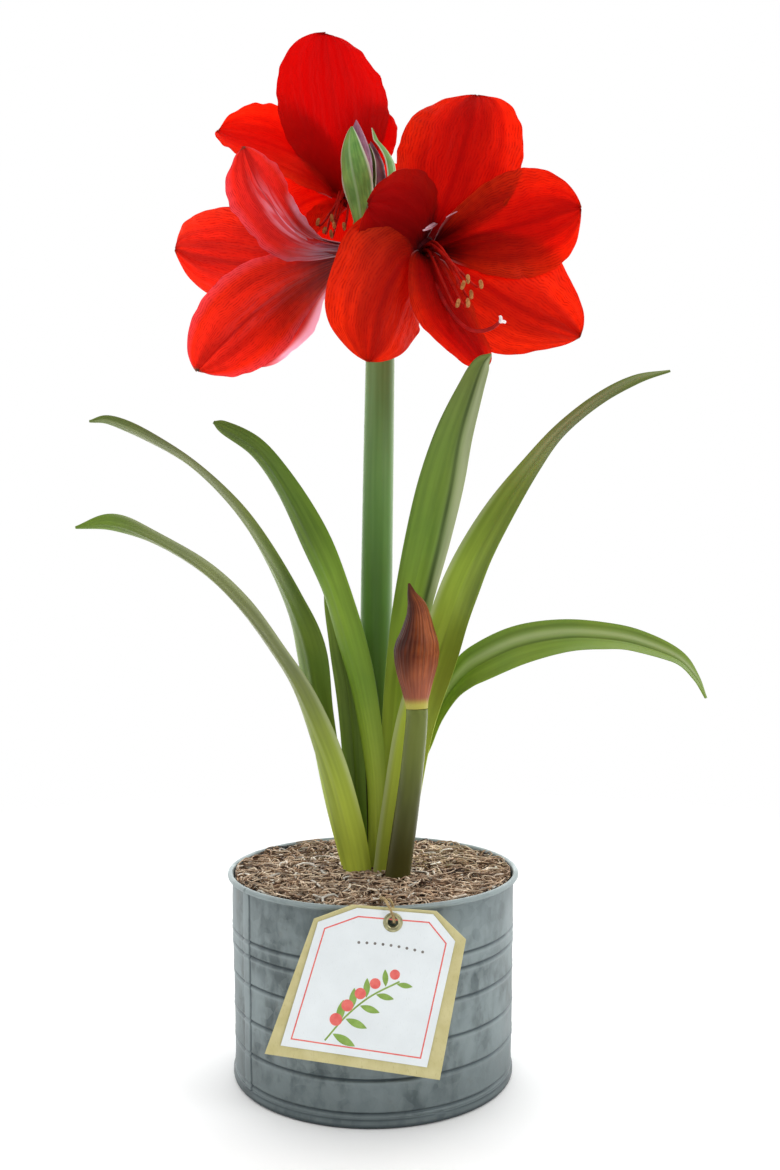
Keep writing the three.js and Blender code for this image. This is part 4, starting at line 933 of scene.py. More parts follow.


# Strap leaves: stations are x, y, z, width and roll; a list gives how grey-olive each station is, a tint that
# is partly a painted sheen; a height gives where the yellow-green foot ends, a foot that is partly painted
# light on shaded bases; a band is its mask (a pale one is a painted highlight, a dark one painted shade), its
# place across at both ends (-1 to 1), its width, its first and last share of the length and its strength.
leafShape = {"thickness": 2.0, "edge": 0.5, "channel": 0.24, "wave": 0.7, "waves": 3.5, "keel": 0.6,
             "ribs": 3.0, "ribHeight": 0.01, "rows": 120, "columns": 31}
leaves = {
    "leaf_1": {
        "channelSide": 1,
        "paintedLightTo": 250,
        "bands": [("pale", 0.95, 0.95, 0.16, 0.3, 0.85, 0.5), ("fold", -0.8, -0.8, 0.4, 0.2, 0.75, 0.3),
                  ("fold", 0, 0, 2.0, 0.4, 1.0, 0.22)],
        "stations": [
            (-9, -13, 108.3, 15, 0), (-9, -13, 118, 16, 0), (-14, -13, 142, 18, -10),
            (-25.2, -13, 182.1, 19, -29), (-42.5, -12, 223.4, 21.2, -52), (-59, -10, 249.8, 22, -63),
            (-79.3, -7, 275.6, 22, -66), (-103, -4, 297.6, 21.2, -65), (-132.8, -2, 315.6, 15.3, -60),
            (-157.1, 0, 324.2, 12.4, -40), (-178.7, 0, 322, 1.6, -30)],
        "olive": [0, 0, 0.15, 0.4, 0.8, 0.9, 0.9, 0.85, 0.7, 0.2, 0.1],
    },
    "leaf_2": {
        "channelSide": 1,
        "paintedLightTo": 230,
        "bands": [("fold", 0.8, 0.8, 0.5, 0.05, 0.5, 0.4), ("pale", 0.2, 0.1, 0.2, 0.55, 0.95, 0.4),
                  ("fold", 0, 0, 2.0, 0.3, 1.0, 0.22)],
        "stations": [
            (-12.5, -4.5, 108.3, 12.5, -10), (-12.5, -4.5, 118, 13, -14), (-23.8, -2, 160.6, 16.6, -32),
            (-33.3, 2, 208.8, 21, -39), (-39.6, 6, 247, 24.3, -38), (-50.7, 11, 277.2, 23.2, -53),
            (-66.7, 16, 307.1, 22.2, -67), (-87.5, 24, 336.5, 19.1, -74), (-113.5, 30, 362, 16.1, -73),
            (-141.9, 34, 379.7, 13.2, -66), (-166.5, 36, 390.7, 8, -49), (-180, 37, 391, 1.6, -45)],
        "olive": [0, 0, 0, 0.1, 0.2, 0.3, 0.5, 0.8, 0.95, 0.9, 0.6, 0.5],
    },
    "leaf_3": {
        "channelSide": 1,
        "paintedLightTo": 240,
        "bands": [("fold", 0.95, 0.95, 0.3, 0.1, 0.8, 0.2), ("fold", 0, 0, 2.0, 0.62, 1.0, 0.55)],
        "stations": [
            (1.8, -6.5, 108.3, 8.5, -5), (1.8, -6.5, 118, 10, -10), (1.7, -7, 168.7, 13.1, -25),
            (-6, -8, 222.1, 17.6, -33), (-15.2, -9, 257.6, 21.1, -33), (-24, -10, 286.9, 21.1, -38),
            (-36.9, -12, 316.4, 21.5, -36), (-53.3, -14, 347.2, 17.5, -36), (-68.4, -17, 367.5, 13, -33),
            (-86.7, -20, 379, 8, -23), (-92.7, -21, 382.3, 1.6, -20)],
        "olive": [0, 0, 0, 0, 0, 0, 0, 0.1, 0.2, 0.4, 0.4],
    },
    "leaf_4": {
        "channelSide": -1,
        "paintedLightTo": 130,
        "bands": [("fold", 0.0, 0.0, 0.9, 0.1, 0.9, 0.45)],
        "stations": [
            (-8.8, 0.8, 108.3, 10, 0), (-8.8, 0.8, 118, 10.5, 0), (-11.1, 0.8, 170.8, 12.8, 0),
            (-14.7, 1.5, 219.4, 14.2, -4), (-20.5, 3, 249.8, 11.8, -8), (-26, 5, 274.5, 7, -12),
            (-29.3, 5, 287.8, 1.6, -12)],
        "olive": [0, 0, 0.2, 0.3, 0.3, 0.3, 0.3],
    },
    "leaf_5": {
        "channelSide": -1,
        "paintedLightTo": 310,
        "bands": [("fold", 0.62, 0.14, 0.13, 0.48, 0.97, 0.85), ("pale", 0.98, 0.66, 0.34, 0.5, 0.96, 0.85),
                  ("fold", -0.98, -0.98, 0.3, 0.45, 0.95, 0.4),
                  ("fold", 0, 0, 2.0, 0.55, 1.0, 0.25)],
        "stations": [
            (10, -2, 108.3, 11, 6), (10, -2, 118, 11.5, 8), (11.2, -1.5, 167.8, 15.1, 18),
            (15.4, -2, 215.1, 21, 14), (19.5, -4, 254.1, 21.8, 10), (23.9, -8, 280.4, 23.4, 8),
            (31.8, -20, 315.2, 26.5, 6), (38.8, -35, 345.6, 26.2, 6), (45.1, -50, 371.3, 21.3, 10),
            (53.4, -65, 394.2, 14.9, 12), (58.2, -79, 404.4, 9.9, 12), (62.8, -86, 408.6, 1.6, 12)],
        "olive": [0, 0, 0, 0, 0, 0, 0, 0.1, 0.25, 0.5, 0.6, 0.6],
    },
    "leaf_6": {
        "channelSide": -1,
        "paintedLightTo": 410,
        "bands": [("pale", -0.95, -0.95, 0.14, 0.1, 0.6, 0.5), ("pale", -0.3, -0.3, 0.4, 0.75, 1.0, 0.4),
                  ("fold", 0.9, 0.9, 0.5, 0.3, 1.0, 0.4), ("fold", 0, 0, 2.0, 0.6, 1.0, 0.2)],
        "stations": [
            (11, -12.5, 108.3, 21.5, 0), (11, -12.5, 118, 21.6, -2), (16.5, -12, 158.1, 21.6, -10),
            (25, -13, 204.5, 23, -14), (37.6, -14, 244.3, 25, -17), (45.2, -15, 267.8, 24, -19),
            (52, -15, 286.8, 23.2, -14), (62.2, -15, 308.6, 21, -22), (77.3, -14, 334.1, 19, -33),
            (93.7, -12, 357.1, 16.1, -43), (111.3, -10, 378, 12.5, -50), (134.5, -8, 397.2, 10, -48),
            (156.3, -6, 409.4, 7, -32), (176.8, -5, 415, 1.6, -30)],
        "olive": [0, 0, 0, 0, 0, 0, 0.05, 0.1, 0.25, 0.45, 0.6, 0.65, 0.6, 0.6],
    },
    "leaf_7": {
        "channelSide": -1,
        "paintedLightTo": 235,
        "bands": [("pale", -0.35, -0.35, 0.2, 0.42, 0.9, 0.4), ("fold", -0.02, -0.02, 0.07, 0.4, 0.93, 0.5),
                  ("fold", -0.75, -0.75, 0.1, 0.4, 0.8, 0.3)],
        "stations": [
            (16, -8, 108.3, 9.5, 0), (16, -8, 118, 10, -2), (18.3, -8, 147.5, 10.5, -6),
            (25.6, -8, 182, 11, -18), (31, -7.5, 195.5, 10.8, -24), (37.2, -7, 209.5, 10.8, -30),
            (45.4, -7, 223.5, 14.5, -34), (54, -8.5, 233.5, 20, -32), (64, -11, 241, 23.4, -28),
            (86, -18, 251.6, 24.5, -28), (111.6, -30, 257.1, 23, -37), (135.2, -43, 256.6, 21.1, -45),
            (150.8, -55, 253.3, 17.9, -50), (166, -66, 246.8, 13.1, -55), (173.4, -74, 237.7, 7.1, -50),
            (177.6, -80, 227.6, 1.6, -45)],
        "olive": [0, 0, 0, 0.1, 0.1, 0.1, 0.1, 0.1, 0.15, 0.2, 0.2, 0.2, 0.25, 0.3, 0.3, 0.3],
    },
}


def makeLeaf(leaf):
    u = np.linspace(0, 1, leafShape["rows"])
    v = np.linspace(-1, 1, leafShape["columns"])[None, :]
    stations = np.array(leaf["stations"], float)
    centre = spline(stations[:, :3], u)
    tangent = unit(spline(stations[:, :3], u + 1e-4) - spline(stations[:, :3], u - 1e-4))
    size = spline(stations[:, 3:], u)
    half = (np.maximum(size[:, 0], 1.2) / 2)[:, None]
    roll = np.radians(size[:, 1])[:, None]
    flat = unit(np.cross(np.array([0, 1.0, 0]), tangent))
    back = np.cross(tangent, flat)
    width = flat * np.cos(roll) + back * np.sin(roll)
    face = back * np.cos(roll) - flat * np.sin(roll)
    u = u[:, None]
    slim = np.minimum(1, half / 8)
    wave = leafShape["wave"] * ramp(u, 0.25, 0.45) * v**2 * np.sin(2 * math.pi * leafShape["waves"] * u + v)
    channel = leafShape["channel"] * half * v**2 - leafShape["keel"] * bump(v, 0, 0.14) * slim
    rise = leaf["channelSide"] * channel + wave * slim
    rise = rise + leafShape["ribHeight"] * np.cos(2 * math.pi * leafShape["ribs"] * v) * slim
    grid = centre[:, None] + width[:, None] * (half * v)[..., None] + face[:, None] * rise[..., None]
    thick = leafShape["thickness"] + (leafShape["edge"] - leafShape["thickness"]) * np.abs(v) ** 3
    thick = thick * (1 - 0.35 * u)
    # a grey-olive tint along the leaf, partly a painted sheen
    olive = np.interp(u[:, 0], np.linspace(0, 1, len(leaf["olive"])), leaf["olive"])[:, None] + 0 * v
    # a yellow-green foot that is partly painted light, brightening each leaf up to the height given for it
    masks = {"olive": olive, "foot": 0.9 * (1 - ease(ramp(grid[..., 2], 125, leaf["paintedLightTo"]))),
             "pale": 0 * olive, "fold": 0 * olive}
    # bands: pale ones are painted highlights and dark ones painted shade
    for kind, first, last, wide, low, high, strength in leaf["bands"]:
        run = ramp(u, low, high)
        band = strength * bump(v, first + (last - first) * run, wide)
        band = band * ease(ramp(u, low - 0.12, low)) * ease(ramp(-u, -high - 0.08, -high))
        masks[kind] = np.maximum(masks[kind], band)
    return shellPart(grid, thick, masks)


for leafName, leafValues in leaves.items():
    makePiece(leafName.replace("_", ""), makeLeaf(leafValues), leafSkin, [leafName], crease=60)
print("leaves grown")


# Flower stalks and the young stalk's closed spathe.
scapes = {
    "scapeMain": {
        "path": [(-0.5, 11.5, 108.3), (-0.5, 11.5, 118), (0.8, 12, 200), (1.8, 11.5, 290), (3, 10.8, 370),
                 (4, 10, 434), (4, 10, 440)],
        "radii": [9.9, 9.9, 9.8, 9.6, 9.2, 8.7, 8.7], "flatten": 0.05, "brownTo": 300, "paleFrom": 330,
        "paleTo": 470, "rows": 120,
    },
    "scapeYoung": {
        "path": [(14.2, -22, 108.3), (14.2, -22, 116), (18.8, -25, 151), (22, -28, 176), (25.4, -31, 212),
                 (25.4, -31, 216.5)],
        "radii": [7.3, 7.3, 7, 6.6, 6.2, 6.2], "flatten": 0.04, "brownTo": 206, "paleFrom": 170,
        "paleTo": 240, "rows": 60,
    },
}
spathe = {
    "path": [(25.4, -31, 216.8), (25.2, -31, 222.2), (25, -31.2, 229), (24.8, -31.4, 236), (24.9, -31.5, 243),
             (25.1, -31.5, 249.7), (25.7, -31.5, 255.5), (26, -31.5, 261.5), (26, -31.5, 270.9),
             (25, -31.5, 276), (22.6, -31.5, 282), (20.8, -31.5, 288.5)],
    "radii": [6.3, 7, 8.7, 10.7, 12.3, 12.95, 11.9, 9.6, 6.6, 5.4, 2.8, 0.6],
    "ribs": 0.012, "lapAngle": 5.4, "lapRise": 0.05,
}


def stalkLine(path, radii, rows):
    # points along a stalk with a radius for each
    shares = np.linspace(0, 1, rows)
    return spline(path, shares, True), np.interp(shares, np.linspace(0, 1, len(radii)), radii)


def makeScape(values):
    line, radii = stalkLine(values["path"], values["radii"], values["rows"])

    def section(u, angle):
        wide = 1 - values["flatten"] * np.sin(angle) ** 2 + 0.006 * np.cos(9 * angle)
        return wide + 0.004 * np.cos(23 * angle)

    height = line[:, 2][:, None]
    brown = 1 - ease(ramp(height, 125, values["brownTo"]))
    pale = 0.4 * ramp(height, values["paleFrom"], values["paleTo"])
    return tubePart(line, radii, 44, section,
                    {"olive": brown, "foot": 0.3 * (1 - ramp(height, 112, 150)), "pale": pale})


def makeSpathe():
    line, radii = stalkLine(spathe["path"], spathe["radii"], 90)

    def section(u, angle):
        turn = (angle - spathe["lapAngle"]) % (2 * math.pi)
        lap = spathe["lapRise"] * (1 - ramp(turn, 0.0, 1.6)) * ramp(turn, 0.0, 0.05)
        lap = lap * ease(ramp(u, 0.05, 0.2))
        return 1 + lap + spathe["ribs"] * np.cos(26 * angle) * ease(ramp(u, 0.03, 0.15)) * (1 - u)

    u = np.linspace(0, 1, 90)[:, None]
    return tubePart(line, radii, 104, section,
                    {"foot": 1 - ease(ramp(u, 0.03, 0.12)), "tip": ease(ramp(u, 0.8, 1))})


def makeSpatheMaterial():
    material, tree, body, _ = startMaterial("spatheSkin", specular=0.2)
    spot = surfaceSpot(tree)
    across, along, _ = separate(tree, spot)
    vein, patch = veinLines(tree, 34.0, 3.0, 0.02, spot), blotches(tree, 0.012, 1.2)
    colour = blend(tree, patch["Blotch"], paint("#7A3210"), paint("#B45E2A"))
    colour = layer(tree, colour, "#4A1604", vein["Streaks"], 0.7)
    colour = layer(tree, colour, "#C08258", vein["Lines"], 0.15)
    colour = layer(tree, colour, "#AC6450", fade(tree, along, 0.08, 0.5), 0.6)
    # painted shade: one flank is darker than the other
    flankShade = times(tree, remap(tree, across, 0.34, 0.44), remap(tree, across, 0.62, 0.84, 0.95, 0.0))
    flankShade = times(tree, flankShade, remap(tree, along, 0.1, 0.5, 0.3, 1.0))
    colour = layer(tree, colour, "#6A4028", flankShade, kind="MULTIPLY")
    colour = layer(tree, colour, "#B8B050", mask(tree, "foot"))
    colour = layer(tree, colour, "#4A2410", mask(tree, "tip"), 0.7)
    dress(tree, body, colour, (vein["Streaks"], 0.15, 0.4), vein["Lines"], 0.4, 0.0004)
    return material


makePiece("scapeMain", makeScape(scapes["scapeMain"]), scapeSkin, ["scape_main"])
makePiece("scapeYoung", makeScape(scapes["scapeYoung"]), youngScapeSkin, ["scape_young"])
makePiece("spatheYoung", makeSpathe(), makeSpatheMaterial(), ["spathe_young"], crease=60)
print("flower stalks grown")


# Open blooms: a tepal leaves the throat at its clock angle and bends away by its flare and curl. A trim takes
# some width off one margin (-1 or 1): its place and spread along the tepal (0 to 1), then its depth. A blush
# is the pale margin's side and how far along it ends.
tepalDefaults = {"start": 8, "sway": 0, "twist": 0, "cup": 25, "throatCup": 45, "claw": 0.08, "peak": 0.6,
                 "root": 3.6, "ripple": 1.6, "waves": 2.5, "phase": 0, "curl": 20, "rows": 60, "columns": 33,
                 "thickness": 0.8, "edge": 0.35, "ribDepth": 0.5, "frill": 0.4, "pleat": 0.32, "blunt": 0.62,
                 "trims": ()}
blooms = {
    "right": {
        "base": (29.6, -12, 484.9),
        "axis": (0.179, -0.975, -0.132),
        "skin": scarletTepal,
        "tepals": [
            {"clock": 14.2, "length": 100.6, "width": 69.4, "flare": 82.4, "curl": 48.8, "sway": 3.7,
             "twist": 18, "cup": 1.7, "phase": -89, "start": 18, "throatCup": 36, "root": 6.4, "claw": 0.09,
             "peak": 0.54, "glow": 0.25, "blunt": 0.5},
            {"clock": 79, "length": 96.5, "width": 60.1, "flare": 77.7, "curl": 6, "sway": -5.8,
             "twist": -12.7, "cup": 19.2, "phase": -20, "start": 20, "throatCup": 80, "root": 5.2,
             "claw": 0.06, "peak": 0.66, "glow": 0.3},
            {"clock": 131.4, "length": 110.3, "width": 80.4, "flare": 80.7, "curl": -18.2, "sway": -15.1,
             "twist": 29.2, "cup": 18.5, "phase": -61, "start": 20, "throatCup": 41, "root": 6.4, "peak": 0.6,
             "glow": 1.0},
            {"clock": 200, "length": 110, "width": 38.4, "flare": 51, "curl": 8, "sway": -51, "cup": -20},
            {"clock": 250, "length": 109, "width": 76.6, "flare": 56, "curl": 33, "sway": -60.5, "twist": 13,
             "cup": -28, "root": 6.2, "glow": 0.75, "trims": [(1, 0.65, 0.12, 4.5), (1, 0.95, 0.06, 3.0)]},
            {"clock": 298, "length": 77.4, "width": 62, "flare": 43, "curl": 2, "sway": -14.4, "twist": 12,
             "cup": -19, "shade": 0.75, "trims": [(1, 0.7, 0.12, 3.5)]},
        ],
        "lips": [{"width": 2.3, "path": [(28.6, -34.2, 489.6), (31.6, -31, 491.8), (35.4, -29, 494.6),
                                         (37.6, -29, 495.9)]},
                 {"width": 0.55, "path": [(41.6, -39.3, 495.4), (45.2, -40.0, 497.4), (48.0, -40.6, 498.4)]}],
        # tips of the anthers along, above and beside the bloom's axis, then the style's path
        "anthers": [(67.5, -28.7, 6.5), (65.5, -25.2, 9.6), (71.1, -28.2, 15.4), (68.3, -38.2, 3.9),
                    (73.2, -38.5, 8.1), (64, -33, 12)],
        "style": [(36, -24, -2), (57.1, -44.9, 5.2), (71.8, -52.7, 12.8), (78, -51.5, 20),
                  (81.5, -48.4, 23.6)],
    },
    "left": {
        "base": (-6.9, -2, 488.1),
        "axis": (-0.911, 0.374, -0.174),
        "skin": sideTepal,
        "tepals": [
            {"clock": 36.5, "length": 98.5, "width": 58.6, "flare": 68, "curl": 32, "sway": -2, "twist": 19,
             "cup": 12, "ribbed": 1.0, "blush": (-1, 0.55), "trims": [(-1, 0.38, 0.12, 4.0)]},
            {"clock": 129, "length": 128, "width": 54.5, "flare": 56, "curl": 8, "sway": 9, "twist": -35,
             "cup": 5, "root": 6.2, "ribbed": 0.12, "glow": 0.5},
            {"clock": 177, "length": 95.3, "width": 62.4, "flare": 40, "curl": 4, "cup": 20, "root": 3.0,
             "twist": -14, "ribbed": 0.3, "blush": (1, 1.0),
             "trims": [(-1, 0.72, 0.34, 13.0), (-1, 0.3, 0.22, 8.0)]},
            {"clock": 238, "length": 92, "width": 44, "flare": 34, "curl": 8, "cup": 20},
            {"clock": 298, "length": 149, "width": 73.6, "flare": 17, "curl": 2, "sway": 25, "twist": 7,
             "cup": 2, "root": 6.2, "glow": 0.4, "trims": [(-1, 0.52, 0.2, 9.0)]},
            {"clock": 352, "length": 74, "width": 34, "flare": 50, "curl": 10, "cup": 35},
        ],
        "anthers": [(56, -20, 12), (52, -17, 4), (50, -19, -4), (56, -24, -4), (52, -27, 4), (50, -24, 12)],
        "style": [(24, -6, 1), (46, -22, 3), (58, -29, 6), (65, -30, 8)],
    },
    "back": {
        "base": (-18.3, 62, 536.6),
        "axis": (-0.031, -0.981, 0.191),
        "skin": litBackTepal,
        "tepals": [
            {"clock": -8.2, "length": 108.6, "width": 70.5, "flare": 70.6, "curl": 13, "sway": 2,
             "twist": -18, "cup": -5.5, "shade": 0.9, "blunt": 0.46, "trims": [(1, 0.85, 0.09, 3.6)]},
            {"clock": 30, "length": 63, "width": 36, "flare": 76, "curl": 10, "cup": 25, "root": 6.2,
             "shade": 0.7},
            {"clock": 105, "length": 66, "width": 44, "flare": 100, "curl": 30},
            {"clock": 178, "length": 62, "width": 56, "flare": 104, "curl": 34, "root": 6.2, "glow": 0.8},
            {"clock": 250, "length": 66, "width": 56, "flare": 106, "curl": 30, "glow": 0.8},
            {"clock": 295.6, "length": 100.3, "width": 51.5, "flare": 77.4, "curl": 23, "sway": -9,
             "twist": -15, "cup": 41, "root": 6.2, "ripple": 0.8, "blunt": 0.5, "glow": 0.3},
        ],
        "anthers": [(40.7, -38.6, -13.7), (39, -35.2, -5.4), (41.9, -41.4, -3.8), (37, -42, -10),
                    (36, -44, -6), (38, -40, 2)],
        "style": [(20, -8, 3), (34, -22, 8), (42, -28, 12), (46, -28, 13)],
    },
}
# the tube behind the tepals is green-brown outside, with a dark funnel inside: [radius, height]
flowerTube = {
    "outside": [[3.6, 0.2], [4.6, 0.3], [5.4, 1.6], [6.1, 4.2], [6.8, 7.0], [6.3, 7.2], [5.2, 5.4],
                [3.6, 3.2], [1.8, 2.6]],
    "funnel": [[6.0, 7.1], [4.9, 5.5], [3.3, 3.4], [1.5, 2.9]],
}
stamenShape = {"start": 7.3, "filament": 0.8, "antherRadius": 1.0, "antherLength": 4.8,
               "style": 1.0, "lobe": [0.7, 0.75, 0.8, 0.85, 0.9, 0.92, 0.92, 0.88, 0.8, 0.66, 0.46, 0.2]}


def tepalGrid(bloom, given):
    tepal = {**tepalDefaults, **given}
    forward, up, right = flowerFrame(bloom["axis"])
    clock = math.radians(tepal["clock"])
    out = math.cos(clock) * up + math.sin(clock) * right
    side = -math.sin(clock) * up + math.cos(clock) * right
    s = np.linspace(0, 1, 121)[:, None]
    lean = np.radians(tepal["start"] + (tepal["flare"] - tepal["start"]) * ease(s / 0.6)
                      + tepal["curl"] * ramp(s, 0.4, 1) ** 1.5)
    sway, twist = np.radians(tepal["sway"]) * ease(s), np.radians(tepal["twist"]) * ease(s)
    plain = np.cos(lean) * forward + np.sin(lean) * out
    tangent = np.cos(sway) * plain + np.sin(sway) * side
    across = np.cos(sway) * side - np.sin(sway) * plain
    inner = np.sin(lean) * forward - np.cos(lean) * out
    place = np.zeros_like(tangent)
    place[1:] = np.cumsum((tangent[1:] + tangent[:-1]) / 2 * tepal["length"] / 120, 0)
    place += np.array(bloom["base"]) + out * tepal["root"]
    across, inner = (np.cos(twist) * across + np.sin(twist) * inner,
                     np.cos(twist) * inner - np.sin(twist) * across)
    # rows close up towards the tip, where the outline turns fastest
    u = 1 - (1 - np.linspace(0, 1, tepal["rows"])) ** 1.25
    v = np.linspace(-1, 1, tepal["columns"])[None, :]
    at = [np.stack([np.interp(u, s[:, 0], values[:, k]) for k in range(3)], -1)[:, None]
          for values in (place, across, inner)]
    u = u[:, None]
    claw, peak = tepal["claw"], tepal["peak"]
    wide = np.where(u < peak, claw + (1 - claw) * np.sin(math.pi / 2 * np.minimum(u / peak, 1)) ** 1.3,
                    np.maximum(0.03, np.maximum(1 - ramp(u, peak, 1) ** 2.2, 0) ** tepal["blunt"]))
    half = tepal["width"] / 2 * wide
    sides = {1: half.copy(), -1: half.copy()}
    for margin, middle, spread, depth in tepal["trims"]:
        sides[margin] -= depth * bump(u, middle, spread)
    half = np.maximum(np.where(v > 0, sides[1], sides[-1]), 0.4)
    opening = ease(u / 0.55)
    bend = np.radians(tepal["throatCup"] + (tepal["cup"] - tepal["throatCup"]) * opening)
    bend = np.where(np.abs(bend) < 1e-3, 1e-3, bend)
    wave = tepal["ripple"] * v**2 * ease(u / 0.4) * np.sin(
        2 * math.pi * tepal["waves"] * u + np.radians(tepal["phase"]) + 1.2 * v)
    frill = tepal["frill"] * np.abs(v) ** 4 * ease(u / 0.5) * (
        np.sin(2 * math.pi * 8 * u + 3 * v + tepal["clock"])
        + 0.7 * np.sin(2 * math.pi * 13 * u - 2 * v + 1.7 * tepal["clock"]))
    pleat = np.cos(6 * math.pi * v + 1.4 * np.sin(4 * u + tepal["clock"]))
    pleat = tepal["pleat"] * (pleat + 0.6 * np.cos(11 * math.pi * v + 3 * u)) * (1 - v**2) * opening
    rib = -tepal["ribDepth"] * bump(v, 0, 0.07) * (1 - u) ** 0.5 + pleat
    rise = half * (1 - np.cos(bend * v)) / bend + wave + frill + rib
    spread = half * np.sin(bend * v) / bend + 0.5 * frill
    grid = at[0] + at[1] * spread[..., None] + at[2] * rise[..., None]
    thick = (tepal["thickness"] + (tepal["edge"] - tepal["thickness"]) * np.abs(v) ** 2) * (1 - 0.3 * u)
    return grid, thick


def makeLip(lip):
    # a small pale margin that rolls forward where two claws meet
    share = np.linspace(0, 1, 20)
    line = spline(lip["path"], share, True)
    along = unit(np.gradient(line, axis=0))
    side = unit(np.cross(along, np.array([0, 1.0, 0])))
    turn = np.radians(np.linspace(-75, 75, 9))[None, :]
    half = (lip["width"] / 2 * np.sin(math.pi * (0.06 + 0.88 * share)) ** 0.7)[:, None]
    grid = line[:, None] + side[:, None] * (half * np.sin(turn))[..., None] + np.array([0, -1.0, 0]) * (
        half * (1 - np.cos(turn)))[..., None]
    return shellPart(grid, 0.3, finish=3)


def makeBloom(bloom):
    parts = []
    for tepal in bloom["tepals"]:
        grid, thick = tepalGrid(bloom, tepal)
        masks = {name: tepal.get(name, 0.0) for name in ("shade", "glow", "ribbed")}
        margin, end = tepal.get("blush", (0, 1))
        u = np.linspace(0, 1, grid.shape[0])[:, None]
        masks["blush"] = (np.linspace(-1, 1, grid.shape[1]) * margin > 0) * ramp(-u, -end, -0.8 * end)
        parts.append(shellPart(grid, thick, masks))
    for finish, side in ((1, "outside"), (2, "funnel")):
        parts.append(turnedPart(flowerTube[side], 32, bloom["base"], bloom["axis"], finish=finish))
    return parts + [makeLip(lip) for lip in bloom.get("lips", ())]


def makeStamens(bloom):
    forward, up, right = flowerFrame(bloom["axis"])

    def reach(along, rise, beside):
        return np.array(bloom["base"]) + forward * (stamenShape["start"] + along) + up * rise + right * beside

    parts = []
    for i, (along, rise, beside) in enumerate(bloom["anthers"]):
        turn = math.radians(60 * i + 30)
        path = [reach(-3.5, 1.6 * math.sin(turn), 1.6 * math.cos(turn)),
                reach(along * 0.3, rise * 0.1 + 3 * math.sin(turn), beside * 0.1 + 3 * math.cos(turn)),
                reach(along * 0.7, rise * 0.66 + 1.5 * math.sin(turn), beside * 0.6 + 2 * math.cos(turn)),
                reach(along * 0.93, rise * 1.03, beside * 0.95),
                reach(along, rise, beside)]
        line = spline(path, np.linspace(0, 1, 40), True)
        parts.append(tubePart(line, np.linspace(1.25, 0.62, 40) * stamenShape["filament"], 8))
        # the anther is a short bent grain that hangs across the filament's tip
        lean = unit(up * 0.9 + right * (0.25 * math.cos(2.1 * i)) + forward * (0.3 * math.sin(1.7 * i + 0.6)))
        bent = unit(np.cross(lean, right))
        share = np.linspace(-1, 1, 16)[:, None]
        grain = line[-1] + lean * share * stamenShape["antherLength"] / 2 + bent * (share**2 - 0.3) * 0.9
        plump = stamenShape["antherRadius"] * np.sqrt(np.maximum(1 - np.linspace(-0.985, 0.985, 16) ** 4, 0))
        parts.append(tubePart(grain, plump, 12, lambda u, angle: 1 + 0.1 * np.cos(2 * angle), finish=1))
    path = [reach(-3.5, 0, 0)] + [reach(*step) for step in bloom["style"]]
    line = spline(path, np.linspace(0, 1, 60), True)
    parts.append(tubePart(line, np.linspace(1.1, 0.95, 60) * stamenShape["style"], 10, finish=2))
    tip, ahead = line[-1], unit(line[-1] - line[-4])
    beside = unit(np.cross(ahead, up))
    above = np.cross(beside, ahead)
    for k in range(3):
        turn = math.radians(120 * k + 90)
        out = math.cos(turn) * beside + math.sin(turn) * above
        lobe = spline([tip - ahead * 0.8, tip + ahead * 0.9 + out * 0.6, tip + ahead * 1.6 + out * 2.0,
                       tip + ahead * 1.0 + out * 2.9], np.linspace(0, 1, 12), True)
        parts.append(tubePart(lobe, stamenShape["lobe"], 8, finish=3))
    return parts


for side, bloom in blooms.items():
    title = side.capitalize()
    makePiece(f"bloom{title}", makeBloom(bloom), [bloom["skin"], tubeSkin, throatSkin, lipSkin],
              [f"bloom_{side}"], crease=70)
    makePiece(f"stamens{title}", makeStamens(bloom), [filamentSkin, antherDust, styleSkin, stigmaSkin],
              [f"stamens_{side}"])
print("blooms opened")


# Pedicels, bracts and the two flower buds.
flowerStalk = [2.4, 2.6, 3, 3.4, 4.4, 6.2, 4.4]
pedicels = {
    "right": {"path": [(9.2, 9, 440.3), (9.2, 9, 444), (15, 11, 457), (21.5, 14.5, 474), (24.8, 12, 485),
                       (27.3, 0.5, 486.6), (29.5, -11.7, 484.9)], "radii": flowerStalk},
    "left": {"path": [(3.1, 4.8, 440.3), (3.1, 4.8, 444), (8, -1, 457), (13, -6.5, 474), (13.6, -9.8, 487),
                      (4.8, -6.8, 490.3), (-6.6, -2.1, 488.1)], "radii": flowerStalk},
    "back": {"path": [(2.2, 15, 440.3), (2.2, 15, 444), (-3, 34, 463), (-10, 58, 491), (-16, 78, 518),
                      (-17.9, 74.6, 534), (-18.3, 62.3, 536.5)], "radii": flowerStalk},
    "bud_a": {"path": [(-1.25, 10.7, 440.3), (-1.25, 10.7, 444), (-2.5, 11, 462), (-4.6, 11, 482),
                       (-6.6, 8.4, 497), (-6.9, 8, 504)], "radii": [2.4, 2.5, 2.8, 3.2, 4.6, 3.4]},
    "bud_b": {"path": [(7.4, 14.1, 440.3), (7.4, 14.1, 444), (7.6, 15.5, 462), (7.8, 18.5, 486),
                       (7, 22.6, 509), (5.75, 23, 519.1)], "radii": [2.4, 2.5, 2.7, 3, 4, 2.6]},
}
bracts = {
    "bract_left": {"turn": 216, "lean": 14, "length": 34, "width": 12},
    "bract_right": {"turn": 318, "lean": 14, "length": 20, "width": 5},
}
